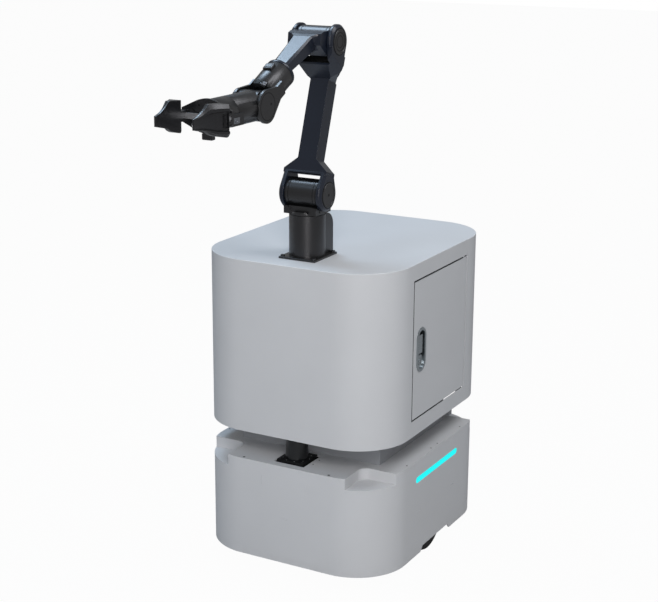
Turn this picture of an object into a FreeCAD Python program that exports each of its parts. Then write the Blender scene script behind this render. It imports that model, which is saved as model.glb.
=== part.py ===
"""Autonomous mobile robot: a low wheeled base, a tall equipment cabinet and a six-axis arm with a gripper.

Millimetres. The zero point is on the floor under the middle of the base, +Z is up, the robot
drives towards -Y and its cabinet door is on the +X side. Every piece is built at the pose in
which the arm reaches forward over the front of the cabinet.
"""
import FreeCAD, Part
import math
import os

from FreeCAD import Placement, Rotation, Vector

# footprint shared by the base and the cabinet
BODY_WIDTH = 420.5
BODY_LENGTH = 500.0
BODY_CORNER = 109.6

# base shell and its deck
BASE_SHEET = 3.0
SKIRT_BOTTOM = 23.5
DECK_TOP = 226.6
DECK_RIM = 5.3
DECK_PANEL = 1.5
DECK_SEAM = 0.15
NOTCH_X = 131.3
NOTCH_Y = 174.3
NOTCH_CORNER = 20.0
NOTCH_DEPTH = 22.5
HATCH_HALF_WIDTH = 115.0
HATCH_NEAR = 20.0
HATCH_FAR = 138.0
CABLE_HOLE_X = 80.0
CABLE_HOLE_Y = 70.0
CABLE_HOLE_RADIUS = 30.0
ARCH_HALF_FOOT = 69.0
ARCH_HALF_TOP = 59.0
ARCH_HEIGHT = 10.5
MARK_DEPTH = 0.8
MARK_WIDTH = 3.2
FRONT_MARK_X = 50.0
FRONT_MARK_Z = 190.0
FRONT_MARK_LENGTH = 18.5
LOW_MARK_Z = 117.0
LOW_MARK_LENGTH = 15.5
SIDE_MARK_Y = 80.7

# light bars in the sides
LIGHT_LENGTH = 194.0
LIGHT_HEIGHT = 12.5
LIGHT_Z = 185.6
LIGHT_LIP = 4.0
LIGHT_BACK = 3.0

# scanner in the front gap
SCANNER_Y = -199.0
POCKET_SIDE = 68.0
POCKET_WALL = 2.0
POCKET_FLOOR = 195.0
SCANNER_SIDE = 60.0
SCANNER_FLANGE_TOP = 223.0
SCANNER_FLANGE = 5.0
SCANNER_TOP = 281.0
SCANNER_FOOT_RADIUS = 27.0
SCANNER_WAIST_RADIUS = 23.5
SCANNER_HEAD_RADIUS = 19.5
SCANNER_FLARE = 9.0

# chassis
PLATE_BOTTOM = 76.0
PLATE = 4.0
POST_X = 130.0
POST_Y = 110.0
POST_SIDE = 16.0

# driven wheels
WHEEL_RADIUS = 70.0
WHEEL_WIDTH = 36.0
WHEEL_OUTER_X = 196.0
WHEEL_GAP = 4.0
RIM_RADIUS = 52.0
TYRE_SHOULDER = 6.0
AXLE_RADIUS = 6.0
RUNNING_CLEARANCE = 0.05
BRACKET = 6.0
BRACKET_FOOT = 30.0
BRACKET_HALF = 40.0
WELL_HALF = 78.0

# swivel casters
CASTER_X = 125.0
CASTER_Y = 185.0
CASTER_TRAIL = 18.0
CASTER_RADIUS = 25.0
CASTER_WIDTH = 18.0
CASTER_AXLE = 4.0
CASTER_FLANGE = 56.0
CASTER_FLANGE_THICK = 3.0
KINGPIN_RADIUS = 5.0
FORK_TOP_RADIUS = 20.0
FORK_HEAD = 10.0
FORK_PLATE = 3.0
FORK_SIDE_GAP = 1.2
FORK_SEAT_GAP = 0.3

# boxes inside the base
BATTERY = Vector(200, 100, 70)
BATTERY_Y = 92.0
DRIVER = Vector(150, 90, 40)
DRIVER_Y = -85.0
FIN_PITCH = 10.0
FIN_WIDTH = 3.0
FIN_HEIGHT = 12.0

# rear of the base
BUTTON_X = -60.0
BUTTON_Z = 165.0
BUTTON_RADIUS = 8.0
BUTTON_COLLAR = 12.0
BUTTON_TRAVEL = 1.5
CONTACT_Z = 60.0
CONTACT_GAP = 30.0
CONTACT_SIZE = Vector(50, 5, 12)

# neck between base and cabinet
NECK_HALF_WIDTH = 156.5
NECK_FRONT = -150.0
NECK_REAR = 144.0
NECK_SHEET = 3.0
NECK_FLANGE = 18.0
REAR_COVER_FRONT = 172.0
REAR_COVER_REAR = 188.0
REAR_COVER_HEIGHT = 24.0
REAR_COVER_WALL = 2.0

# cabinet
CABINET_BOTTOM = 284.0
CABINET_TOP = 628.3
CABINET_SHEET = 2.0
CABINET_LIP = 12.0
CABINET_EDGE = 1.2
RAIL_X = 140.0
RAIL_WIDTH = 25.0
RAIL_HEIGHT = 20.0
TRAY = 3.0
COMPUTER = Vector(180, 130, 55)
COMPUTER_AT = Vector(-30, -60, 0)
ARM_SUPPLY = Vector(120, 80, 45)
ARM_SUPPLY_AT = Vector(-50, 75, 0)
STIFFENER = Vector(150, 160, 6)

# door in the cabinet's right side
DOOR_FRONT = -124.6
DOOR_REAR = 122.6
DOOR_LOW = 316.2
DOOR_HIGH = 596.8
DOOR_GAP = 3.5
DOOR_SHEET = 2.0
DOOR_RETURN = 9.0
HINGE_INSET = 5.75
HINGE_Y = 113.4
HINGE_RADIUS = 3.0
HINGE_BLOCK = 12.0
HINGE_BLOCK_HEIGHT = 10.0
HINGE_PIN_REACH = 8.0

# flush handle and its lock
HANDLE_Y = -88.0
HANDLE_Z = 454.0
HANDLE_LENGTH = 89.0
HANDLE_WIDTH = 40.0
HANDLE_PROUD = 1.6
CUP_LENGTH = 77.0
CUP_WIDTH = 28.0
CUP_WALL = 2.0
CUP_DEPTH = 14.0
LEVER_WIDTH = 19.0
LEVER_LOW = -8.0
LEVER_HIGH = 29.0
LEVER_THICK = 6.0
LEVER_PIVOT_Z = -5.0
LEVER_PIN_RADIUS = 1.6
LEVER_PIN_DEPTH = 6.0
LOCK_Z = -26.0
LOCK_RADIUS = 7.0
LOCK_STEM_RADIUS = 4.0
CAM_LENGTH = 34.0
CAM_WIDTH = 14.0
CAM_THICK = 3.0

# arm: its axes lie in the plane X = 0
ARM_Y = -160.0
SHOULDER = Vector(0, -160.5, 751.0)
BEAM_LEAN = -18.5
FOREARM_SLOPE = 27.2
FOREARM_OFFSET = 23.0
FOREARM_LENGTH = 248.5

# arm foot and column
FOOT_X = 1.5
FOOT_WIDTH = 79.0
FOOT_LENGTH = 88.0
FOOT = 4.0
FOOT_HOLE = 2.75
FOOT_HOLE_INSET = 6.0
COLUMN_RADIUS = 35.0
COLUMN_TOP = 711.8
SOCKET_HALF_WIDTH = 30.0
SOCKET_REAR = -112.5
SOCKET_CURVE = 27.0
TURRET_GAP = 0.4
TURRET_RING = 7.0
TURRET_RADIUS = 34.0
TURRET_HALF_WIDTH = 34.8
TURRET_HALF_DEPTH = 29.0
TURRET_SEAT = 22.0
SPIGOT_RADIUS = 15.0
SPIGOT_DEPTH = 20.0

# joint motors of the arm and the forks that hold them
MOTOR_RADIUS = 28.0
MOTOR_HALF_WIDTH = 35.0
STUB_RADIUS = 10.0
FORK_GAP = 0.3
FORK_OUTER = 46.0
FORK_RADIUS = 32.0
CAP_RADIUS = 23.5
CAP = 2.0
CAP_PROUD = 0.6
FORK_BEVEL = 4.5

# upper arm beam, in its own frame: along the beam and towards its back
BEAM_HALF_WIDTH = 19.5
BEAM_FRONT = -23.0
BEAM_BACK = 11.0
BEAM_LOW = 63.0
BEAM_HIGH = 213.0
SPREAD_LOW = 41.0
SPREAD_HIGH = 233.5
ELBOW_ALONG = 279.95
ELBOW_ACROSS = -51.45
FORK_WINDOW = 42.0
NOSE_ALONG = 215.0
LEDGE_ALONG = 239.6
LEDGE_ACROSS = -65.4
WEB_ACROSS = -56.4
CHEEK_ALONG = 234.5
CHEEK_BACK = -20.5

# forearm, in its own frame from the elbow axis: up and along
SHROUD_TOP = 39.5
SHROUD_START = 51.5
SHROUD_END = 144.5
SHROUD_HEAD = 34.6
RING_RADIUS = 28.2
RING = 6.0
ROLL_GAP = 0.4
ROLL_RADIUS = 27.8
ROLL_END = 213.0
ROLL_SPIGOT = 12.0
YOKE_INNER = 24.4
YOKE_OUTER = 30.0
YOKE_RADIUS = 29.7
YOKE_NECK = 13.0

# wrist and hand, in the hand's own frame from the wrist axis
WRIST_RADIUS = 27.0
WRIST_HALF_WIDTH = 24.0
WRIST_STUB = 6.0
WRIST_STEP = 6.0
WRIST_NECK_RADIUS = 22.5
HAND_RADIUS = 27.6
HAND_START = 31.0
FLANGE_AT = 91.0
FLANGE_GAP = 0.4
PLATE_AT = 142.0
GRIP_PLATE = 6.0
GRIP_HALF_WIDTH = 50.0
GRIP_HALF_HEIGHT = 29.5
GRIP_TIP_HALF = 12.0
RAIL_HALF_LENGTH = 49.0
RAIL_HALF_HEIGHT = 5.0
RAIL_DEPTH = 8.0
SLIDE_CLEARANCE = 0.15
JAW_OPEN = 35.2
FINGER_REAR = 171.0
FINGER_TIP = 243.0
FINGER_REAR_HALF = 27.4
FINGER_TIP_TOP = 9.8
FINGER_TIP_LOW = -7.9
FINGER_POCKET = 53.0
FINGER_REAR_THICK = 24.0
FINGER_TIP_THICK = 4.0
CARRIAGE = 16.0
CARRIAGE_HALF_HEIGHT = 9.0
SIDE_PORT = Vector(7, 20, 38)
UNDER_BLOCK = Vector(20, 11, 10)

X_AXIS = Vector(1, 0, 0)
Y_AXIS = Vector(0, 1, 0)
Z_AXIS = Vector(0, 0, 1)
SIDES = (-1, 1)

# the hinge axis lies just inside the cabinet's right side
HINGE_X = BODY_WIDTH / 2 - HINGE_INSET

# joint centres that follow from the two links
ELBOW = SHOULDER + Rotation(X_AXIS, BEAM_LEAN).multVec(Vector(0, ELBOW_ACROSS, ELBOW_ALONG))
WRIST = ELBOW + Rotation(X_AXIS, 90 + FOREARM_SLOPE).multVec(Vector(0, FOREARM_OFFSET, FOREARM_LENGTH))


def box(low, high):
    """A box between two corners."""
    size = high - low
    return Part.makeBox(size.x, size.y, size.z, low)


def standing_box(size, middle, bottom):
    """A box of a size that stands at bottom, centred on middle in X and Y."""
    return Part.makeBox(size.x, size.y, size.z, Vector(middle.x - size.x / 2, middle.y - size.y / 2, bottom))


def rounded_prism(width, length, corner, bottom, top, y=0.0):
    """An upright prism with rounded corners, centred on X = 0."""
    block = Part.makeBox(width, length, top - bottom, Vector(-width / 2, y - length / 2, bottom))
    upright = [e for e in block.Edges if abs(e.tangentAt(e.FirstParameter).z) > 0.99]
    return block.makeFillet(corner, upright)


def rod(radius, start, length, direction):
    """A round bar."""
    return Part.makeCylinder(radius, length, start, direction)


def cross_rod(radius, half, y=0.0, z=0.0):
    """A round bar along X, even about X = 0."""
    return rod(radius, Vector(-half, y, z), 2 * half, X_AXIS)


def polygon(points):
    """A flat face from its corners."""
    return Part.Face(Part.makePolygon(list(points) + [points[0]]))


def slot_prism(length, width, depth):
    """A prism with round ends: length along X, width along Y, depth along Z from 0."""
    run = length / 2 - width / 2
    r = width / 2
    edges = [
        Part.LineSegment(Vector(-run, -r, 0), Vector(run, -r, 0)).toShape(),
        Part.Arc(Vector(run, -r, 0), Vector(run + r, 0, 0), Vector(run, r, 0)).toShape(),
        Part.LineSegment(Vector(run, r, 0), Vector(-run, r, 0)).toShape(),
        Part.Arc(Vector(-run, r, 0), Vector(-run - r, 0, 0), Vector(-run, -r, 0)).toShape(),
    ]
    return Part.Face(Part.Wire(edges)).extrude(Vector(0, 0, depth))


def facing(shape, along, up, outward, origin):
    """Lays a shape's own X, Y and Z on three directions and moves its zero to origin."""
    laid = shape.copy()
    laid.Placement = Placement(origin, Rotation(along, up, outward, "ZXY"))
    return laid


def tilted(shape, degrees, origin):
    """Turns a shape about its own X axis and moves its zero to origin."""
    laid = shape.copy()
    laid.Placement = Placement(origin, Rotation(X_AXIS, degrees))
    return laid


def fused(shapes):
    """One solid from pieces that meet."""
    return shapes[0].multiFuse(shapes[1:]).removeSplitter()


def on_side(shape, side, y, z, x=BODY_WIDTH / 2):
    """Lays a flat shape on the left or right side of the body, its Z pointing outwards."""
    return facing(shape, Vector(0, side, 0), Z_AXIS, Vector(side, 0, 0), Vector(side * x, y, z))


def notch(grow, floor):
    """The four corner notches, grown by a margin, from a floor height up."""
    cuts = []
    for side in SIDES:
        for end in SIDES:
            reach_x = BODY_WIDTH / 2 + 10
            reach_y = BODY_LENGTH / 2 + 10
            near = Vector(NOTCH_X - grow, NOTCH_Y - grow, floor)
            block = Part.makeBox(reach_x - near.x, reach_y - near.y, DECK_TOP + 5 - floor, near)
            inner = [
                e for e in block.Edges
                if e.BoundBox.XMax < near.x + 0.1 and e.BoundBox.YMax < near.y + 0.1
            ]
            block = block.makeFillet(NOTCH_CORNER + grow, inner)
            if side < 0:
                block = block.mirror(Vector(), X_AXIS)
            if end < 0:
                block = block.mirror(Vector(), Y_AXIS)
            cuts.append(block)
    return Part.makeCompound(cuts)


def body_prism(inset, bottom, top):
    """The footprint of the body, drawn in by a margin."""
    return rounded_prism(BODY_WIDTH - 2 * inset, BODY_LENGTH - 2 * inset, BODY_CORNER - inset, bottom, top)


def shell_marks():
    """Shallow sensor slots in the front and the sides of the base."""
    cuts = []
    front = -BODY_LENGTH / 2 + MARK_DEPTH
    upright = slot_prism(FRONT_MARK_LENGTH, MARK_WIDTH, 2 * MARK_DEPTH)
    level = slot_prism(LOW_MARK_LENGTH, MARK_WIDTH, 2 * MARK_DEPTH)
    for side in SIDES:
        at = Vector(side * FRONT_MARK_X, front, FRONT_MARK_Z)
        cuts.append(facing(upright, Z_AXIS, X_AXIS, -Y_AXIS, at))
        for end in SIDES:
            cuts.append(on_side(level, side, end * SIDE_MARK_Y, LOW_MARK_Z, BODY_WIDTH / 2 - MARK_DEPTH))
    cuts.append(facing(level, X_AXIS, Z_AXIS, -Y_AXIS, Vector(0, front, LOW_MARK_Z)))
    return cuts


def light_slots():
    """Slots through both sides for the light bars."""
    slot = slot_prism(LIGHT_LENGTH, LIGHT_HEIGHT, 2 * BASE_SHEET)
    return [on_side(slot, side, 0, LIGHT_Z, BODY_WIDTH / 2 - 1.5 * BASE_SHEET) for side in SIDES]


def wheel_arches():
    """Trapezoid arches in the lower edge of both sides."""
    foot = SKIRT_BOTTOM
    top = SKIRT_BOTTOM + ARCH_HEIGHT
    reach = BODY_WIDTH / 2 + 5
    face = polygon([
        Vector(-reach, -ARCH_HALF_FOOT, foot - 1),
        Vector(-reach, -ARCH_HALF_FOOT, foot),
        Vector(-reach, -ARCH_HALF_TOP, top),
        Vector(-reach, ARCH_HALF_TOP, top),
        Vector(-reach, ARCH_HALF_FOOT, foot),
        Vector(-reach, ARCH_HALF_FOOT, foot - 1),
    ])
    return face.extrude(Vector(2 * reach, 0, 0))


def hatches():
    """Two service openings in the deck under its cover panels, and the scanner's opening."""
    low = DECK_TOP - BASE_SHEET - 1
    high = DECK_TOP + 1
    cuts = []
    for end in SIDES:
        near = min(end * HATCH_NEAR, end * HATCH_FAR)
        far = max(end * HATCH_NEAR, end * HATCH_FAR)
        cuts.append(box(Vector(-HATCH_HALF_WIDTH, near, low), Vector(HATCH_HALF_WIDTH, far, high)))
    cuts.append(scanner_opening(low, high))
    return cuts


def scanner_opening(low, high):
    """The square hole for the scanner."""
    half = POCKET_SIDE / 2
    return box(Vector(-half, SCANNER_Y - half, low), Vector(half, SCANNER_Y + half, high))


def base_shell():
    """The painted skirt with its top, corner notches, slots and arches."""
    outer = body_prism(0, SKIRT_BOTTOM, DECK_TOP).cut(notch(0, DECK_TOP - NOTCH_DEPTH))
    inner = body_prism(BASE_SHEET, SKIRT_BOTTOM - 1, DECK_TOP - BASE_SHEET)
    inner = inner.cut(notch(BASE_SHEET, DECK_TOP - NOTCH_DEPTH - BASE_SHEET))
    recess = body_prism(DECK_RIM, DECK_TOP - DECK_PANEL, DECK_TOP + 1).cut(notch(DECK_RIM, 0))
    shell = outer.cut(inner).cut(recess)
    return shell.cut([wheel_arches()] + light_slots() + shell_marks() + hatches() + [button_hole()])


def deck_panel(end):
    """One of the two cover panels that close the deck."""
    rim = DECK_RIM + DECK_SEAM
    panel = body_prism(rim, DECK_TOP - DECK_PANEL, DECK_TOP).cut(notch(rim, 0))
    reach = BODY_LENGTH
    low = Vector(-reach, min(end * DECK_SEAM, end * reach), 0)
    high = Vector(reach, max(end * DECK_SEAM, end * reach), DECK_TOP + 1)
    return panel.common(box(low, high))


def deck_front():
    """Front cover panel with the scanner's hole."""
    return deck_panel(-1).cut(scanner_opening(DECK_TOP - 5, DECK_TOP + 1))


def deck_rear():
    """Rear cover panel with the cable hole that leads up into the neck."""
    return deck_panel(1).cut(cable_hole(DECK_TOP))


def cable_hole(height):
    """The round passage for cables between base and cabinet, at the height of a sheet."""
    return rod(CABLE_HOLE_RADIUS, Vector(CABLE_HOLE_X, CABLE_HOLE_Y, height - 5), 10, Z_AXIS)


def light_bar(side):
    """A lens that fills its slot from behind, with a lip inside the wall."""
    lens = slot_prism(LIGHT_LENGTH, LIGHT_HEIGHT, BASE_SHEET)
    lip = slot_prism(LIGHT_LENGTH + 2 * LIGHT_LIP, LIGHT_HEIGHT + 2 * LIGHT_LIP, LIGHT_BACK)
    wall = BODY_WIDTH / 2 - BASE_SHEET
    return fused([on_side(lens, side, 0, LIGHT_Z, wall), on_side(lip, side, 0, LIGHT_Z, wall - LIGHT_BACK)])


def scanner_tray():
    """An open sheet box under the deck that holds the scanner."""
    outer = POCKET_SIDE / 2 + POCKET_WALL
    inner = POCKET_SIDE / 2
    top = DECK_TOP - BASE_SHEET
    tray = box(Vector(-outer, SCANNER_Y - outer, POCKET_FLOOR), Vector(outer, SCANNER_Y + outer, top))
    hollow = box(
        Vector(-inner, SCANNER_Y - inner, POCKET_FLOOR + POCKET_WALL),
        Vector(inner, SCANNER_Y + inner, top + 1),
    )
    return tray.cut(hollow)


def scanner_base():
    """The scanner's square housing and its flange with rounded corners."""
    body = SCANNER_SIDE - 6
    low = POCKET_FLOOR + POCKET_WALL
    shoulder = SCANNER_FLANGE_TOP - SCANNER_FLANGE
    housing = rounded_prism(body, body, 6, low, shoulder, SCANNER_Y)
    flange = rounded_prism(SCANNER_SIDE, SCANNER_SIDE, 4, shoulder, SCANNER_FLANGE_TOP, SCANNER_Y)
    return fused([housing, flange])


def scanner_head():
    """The scanner's dark window, flared at its foot and slightly tapered."""
    foot = SCANNER_FLANGE_TOP
    flare = foot + SCANNER_FLARE
    middle = Vector(SCANNER_FOOT_RADIUS - 2.8, 0, foot + SCANNER_FLARE * 0.3)
    edges = [
        Part.LineSegment(Vector(0, 0, foot), Vector(SCANNER_FOOT_RADIUS, 0, foot)).toShape(),
        Part.Arc(Vector(SCANNER_FOOT_RADIUS, 0, foot), middle, Vector(SCANNER_WAIST_RADIUS, 0, flare)).toShape(),
        Part.LineSegment(
            Vector(SCANNER_WAIST_RADIUS, 0, flare), Vector(SCANNER_HEAD_RADIUS, 0, SCANNER_TOP)
        ).toShape(),
        Part.LineSegment(Vector(SCANNER_HEAD_RADIUS, 0, SCANNER_TOP), Vector(0, 0, SCANNER_TOP)).toShape(),
        Part.LineSegment(Vector(0, 0, SCANNER_TOP), Vector(0, 0, foot)).toShape(),
    ]
    head = Part.Face(Part.Wire(edges)).revolve(Vector(), Z_AXIS, 360)
    head.translate(Vector(0, SCANNER_Y, 0))
    return head


def chassis_plate():
    """The plate that carries everything, with wells for the driven wheels and posts for the deck."""
    top = PLATE_BOTTOM + PLATE
    plate = body_prism(BASE_SHEET, PLATE_BOTTOM, top)
    well_x = WHEEL_OUTER_X - WHEEL_WIDTH - WHEEL_GAP - BRACKET
    wells = []
    for side in SIDES:
        low = min(side * well_x, side * BODY_WIDTH)
        high = max(side * well_x, side * BODY_WIDTH)
        wells.append(box(Vector(low, -WELL_HALF, 0), Vector(high, WELL_HALF, top + 1)))
    plate = plate.cut(wells)
    posts = []
    for side in SIDES:
        for end in SIDES:
            size = Vector(POST_SIDE, POST_SIDE, DECK_TOP - BASE_SHEET - top)
            posts.append(standing_box(size, Vector(side * POST_X, end * POST_Y, 0), top))
    return fused([plate] + posts)


def wheel_bracket(side):
    """An angle bracket with the fixed axle of one driven wheel."""
    web_outer = WHEEL_OUTER_X - WHEEL_WIDTH - WHEEL_GAP
    web_inner = web_outer - BRACKET
    top = PLATE_BOTTOM + PLATE
    web = box(
        Vector(web_inner, -BRACKET_HALF, WHEEL_RADIUS - 22), Vector(web_outer, BRACKET_HALF, top + BRACKET)
    )
    foot = box(
        Vector(web_inner - BRACKET_FOOT, -BRACKET_HALF, top), Vector(web_outer, BRACKET_HALF, top + BRACKET)
    )
    axle_end = WHEEL_OUTER_X - 10
    axle = rod(AXLE_RADIUS, Vector(web_inner, 0, WHEEL_RADIUS), axle_end - web_inner, X_AXIS)
    stator = rod(20, Vector(web_outer, 0, WHEEL_RADIUS), WHEEL_GAP - 1.5, X_AXIS)
    bracket = fused([web, foot, stator, axle])
    return bracket if side > 0 else bracket.mirror(Vector(), X_AXIS)


def wheel_ring(points, side):
    """A ring turned about the driven wheel's axle from (radius, x) points."""
    face = polygon([Vector(x, 0, WHEEL_RADIUS + r) for r, x in points])
    ring = face.revolve(Vector(0, 0, WHEEL_RADIUS), X_AXIS, 360)
    return ring if side > 0 else ring.mirror(Vector(), X_AXIS)


def drive_hub(side):
    """Hub motor housing: a dished drum that turns on the fixed axle."""
    inner_x = WHEEL_OUTER_X - WHEEL_WIDTH
    bore = AXLE_RADIUS + RUNNING_CLEARANCE
    bore_end = WHEEL_OUTER_X - 9
    return wheel_ring([
        (bore, inner_x + 1),
        (RIM_RADIUS, inner_x + 1),
        (RIM_RADIUS, WHEEL_OUTER_X - 1),
        (RIM_RADIUS - 6, WHEEL_OUTER_X - 1),
        (RIM_RADIUS - 10, WHEEL_OUTER_X - 7),
        (24, WHEEL_OUTER_X - 7),
        (20, WHEEL_OUTER_X - 3),
        (0, WHEEL_OUTER_X - 3),
        (0, bore_end),
        (bore, bore_end),
    ], side)


def drive_tyre(side):
    """Solid tyre with eased shoulders."""
    inner_x = WHEEL_OUTER_X - WHEEL_WIDTH
    ease = TYRE_SHOULDER
    return wheel_ring([
        (RIM_RADIUS, inner_x),
        (WHEEL_RADIUS - ease, inner_x),
        (WHEEL_RADIUS - ease * 0.3, inner_x + ease * 0.3),
        (WHEEL_RADIUS, inner_x + ease),
        (WHEEL_RADIUS, WHEEL_OUTER_X - ease),
        (WHEEL_RADIUS - ease * 0.3, WHEEL_OUTER_X - ease * 0.3),
        (WHEEL_RADIUS - ease, WHEEL_OUTER_X),
        (RIM_RADIUS, WHEEL_OUTER_X),
    ], side)


CASTER_PLACES = {
    "front_left": Vector(-CASTER_X, -CASTER_Y, 0),
    "front_right": Vector(CASTER_X, -CASTER_Y, 0),
    "rear_left": Vector(-CASTER_X, CASTER_Y, 0),
    "rear_right": Vector(CASTER_X, CASTER_Y, 0),
}


def caster_mounts():
    """Four flange plates under the chassis, each with its kingpin."""
    flanges = []
    for at in CASTER_PLACES.values():
        bottom = PLATE_BOTTOM - CASTER_FLANGE_THICK
        size = Vector(CASTER_FLANGE, CASTER_FLANGE, CASTER_FLANGE_THICK)
        plate = standing_box(size, at, bottom)
        length = FORK_HEAD + 1.5
        pin = rod(KINGPIN_RADIUS, Vector(at.x, at.y, bottom - length), length, Z_AXIS)
        flanges.append(fused([plate, pin]))
    return Part.makeCompound(flanges)


def caster_fork(at):
    """A caster's fork: round head, two raked legs and the riveted axle."""
    top = PLATE_BOTTOM - CASTER_FLANGE_THICK - FORK_SEAT_GAP
    low = top - FORK_HEAD
    head = rod(FORK_TOP_RADIUS, Vector(0, 0, low), FORK_HEAD, Z_AXIS)
    inner = CASTER_WIDTH / 2 + FORK_SIDE_GAP
    axle_y = CASTER_TRAIL
    axle_z = CASTER_RADIUS
    legs = []
    for side in SIDES:
        start = inner if side > 0 else -inner - FORK_PLATE
        leg = polygon([
            Vector(start, -13, low + 2),
            Vector(start, axle_y - 8, axle_z - 5),
            Vector(start, axle_y, axle_z - 8),
            Vector(start, axle_y + 8, axle_z - 3),
            Vector(start, axle_y, low + 2),
        ]).extrude(Vector(FORK_PLATE, 0, 0))
        legs.append(leg)
    axle = cross_rod(CASTER_AXLE, inner + FORK_PLATE, axle_y, axle_z)
    fork = fused([head] + legs + [axle])
    fork = fork.cut(rod(KINGPIN_RADIUS + RUNNING_CLEARANCE, Vector(0, 0, low - 1), FORK_HEAD + 2, Z_AXIS))
    fork.translate(at)
    return fork


def caster_wheel(at):
    """A caster's wheel with a bore that runs on the axle."""
    half = CASTER_WIDTH / 2
    bore = CASTER_AXLE + RUNNING_CLEARANCE
    ease = 3.0
    face = polygon([
        Vector(-half, 0, bore),
        Vector(-half, 0, CASTER_RADIUS - ease),
        Vector(-half + ease, 0, CASTER_RADIUS),
        Vector(half - ease, 0, CASTER_RADIUS),
        Vector(half, 0, CASTER_RADIUS - ease),
        Vector(half, 0, bore),
    ])
    wheel = face.revolve(Vector(), X_AXIS, 360)
    wheel.translate(at + Vector(0, CASTER_TRAIL, CASTER_RADIUS))
    return wheel


def battery_pack():
    """Battery on the chassis plate, with a lifting rib."""
    low = PLATE_BOTTOM + PLATE
    pack = standing_box(BATTERY, Vector(0, BATTERY_Y, 0), low)
    edges = [e for e in pack.Edges if abs(e.tangentAt(e.FirstParameter).z) > 0.99]
    pack = pack.makeFillet(6, edges)
    rib = standing_box(Vector(90, 12, 8), Vector(0, BATTERY_Y, 0), low + BATTERY.z)
    return fused([pack, rib])


def finned_box(size, middle, bottom):
    """An electronics box with cooling fins along Y on its top."""
    body = Vector(size.x, size.y, size.z - FIN_HEIGHT)
    solids = [standing_box(body, middle, bottom)]
    count = int(size.x // FIN_PITCH) - 1
    for i in range(count):
        x = middle.x + (i - (count - 1) / 2) * FIN_PITCH
        fin = Vector(FIN_WIDTH, size.y, FIN_HEIGHT)
        solids.append(standing_box(fin, Vector(x, middle.y, 0), bottom + body.z))
    return fused(solids)


def drive_controller():
    """Motor controller for the driven wheels."""
    return finned_box(DRIVER, Vector(0, DRIVER_Y, 0), PLATE_BOTTOM + PLATE)


def button_hole():
    """Hole for the power button in the rear of the base."""
    start = Vector(BUTTON_X, BODY_LENGTH / 2 - 2 * BASE_SHEET, BUTTON_Z)
    return rod(BUTTON_COLLAR - 2, start, 3 * BASE_SHEET, Y_AXIS)


def button_collar():
    """Collar of the power button, seated on the rear wall."""
    wall = BODY_LENGTH / 2
    flange = rod(BUTTON_COLLAR, Vector(BUTTON_X, wall, BUTTON_Z), 2, Y_AXIS)
    sleeve = rod(BUTTON_COLLAR - 2, Vector(BUTTON_X, wall - 12, BUTTON_Z), 12, Y_AXIS)
    hole = rod(BUTTON_RADIUS + RUNNING_CLEARANCE, Vector(BUTTON_X, wall - 9, BUTTON_Z), 20, Y_AXIS)
    return fused([flange, sleeve]).cut(hole)


def power_button():
    """The button itself, with room behind it for its travel."""
    wall = BODY_LENGTH / 2
    rear = wall - 9 + BUTTON_TRAVEL + 0.3
    return rod(BUTTON_RADIUS, Vector(BUTTON_X, rear, BUTTON_Z), wall + 3.5 - rear, Y_AXIS)


def charge_contacts():
    """Two charging strips in a block on the rear of the skirt."""
    wall = BODY_LENGTH / 2
    strips = []
    for side in SIDES:
        middle = Vector(0, wall + CONTACT_SIZE.y / 2, 0)
        strips.append(standing_box(CONTACT_SIZE, middle, CONTACT_Z + side * CONTACT_GAP / 2))
    return Part.makeCompound(strips)


def neck_frame():
    """The folded box between base and cabinet, with flanges to both."""
    low = DECK_TOP
    high = CABINET_BOTTOM
    outer = box(Vector(-NECK_HALF_WIDTH, NECK_FRONT, low), Vector(NECK_HALF_WIDTH, NECK_REAR, high))
    t = NECK_SHEET
    inner = box(
        Vector(-NECK_HALF_WIDTH + t, NECK_FRONT + t, low + t),
        Vector(NECK_HALF_WIDTH - t, NECK_REAR - t, high - t),
    )
    f = NECK_FLANGE
    window = box(
        Vector(-NECK_HALF_WIDTH + f, NECK_FRONT + f, low - 1),
        Vector(NECK_HALF_WIDTH - f, NECK_REAR - f, high + 1),
    )
    return outer.cut([inner, window])


def rear_cable_cover():
    """Low cover of five flat plates across the deck behind the neck, open at its foot."""
    low = DECK_TOP
    high = DECK_TOP + REAR_COVER_HEIGHT
    t = REAR_COVER_WALL
    half = NECK_HALF_WIDTH
    under = high - t
    top = box(Vector(-half, REAR_COVER_FRONT, under), Vector(half, REAR_COVER_REAR, high))
    front = box(Vector(-half, REAR_COVER_FRONT, low), Vector(half, REAR_COVER_FRONT + t, under))
    rear = box(Vector(-half, REAR_COVER_REAR - t, low), Vector(half, REAR_COVER_REAR, under))
    left = box(Vector(-half, REAR_COVER_FRONT + t, low), Vector(-half + t, REAR_COVER_REAR - t, under))
    right = box(Vector(half - t, REAR_COVER_FRONT + t, low), Vector(half, REAR_COVER_REAR - t, under))
    return Part.makeCompound([top, front, rear, left, right])


def cabinet_shell():
    """The cabinet: four walls and a roof in one skin, open below inside a narrow lip."""
    outer = body_prism(0, CABINET_BOTTOM, CABINET_TOP)
    rim = [e for e in outer.Edges if e.BoundBox.ZMin > CABINET_TOP - 0.1]
    outer = outer.makeFillet(CABINET_EDGE, rim)
    inner = body_prism(CABINET_SHEET, CABINET_BOTTOM + CABINET_SHEET, CABINET_TOP - CABINET_SHEET)
    mouth = body_prism(CABINET_LIP, CABINET_BOTTOM - 1, CABINET_BOTTOM + 2 * CABINET_SHEET)
    doorway = box(
        Vector(BODY_WIDTH / 2 - 10, DOOR_FRONT, DOOR_LOW), Vector(BODY_WIDTH / 2 + 5, DOOR_REAR, DOOR_HIGH)
    )
    return outer.cut([inner, mouth, doorway] + foot_holes())


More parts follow.
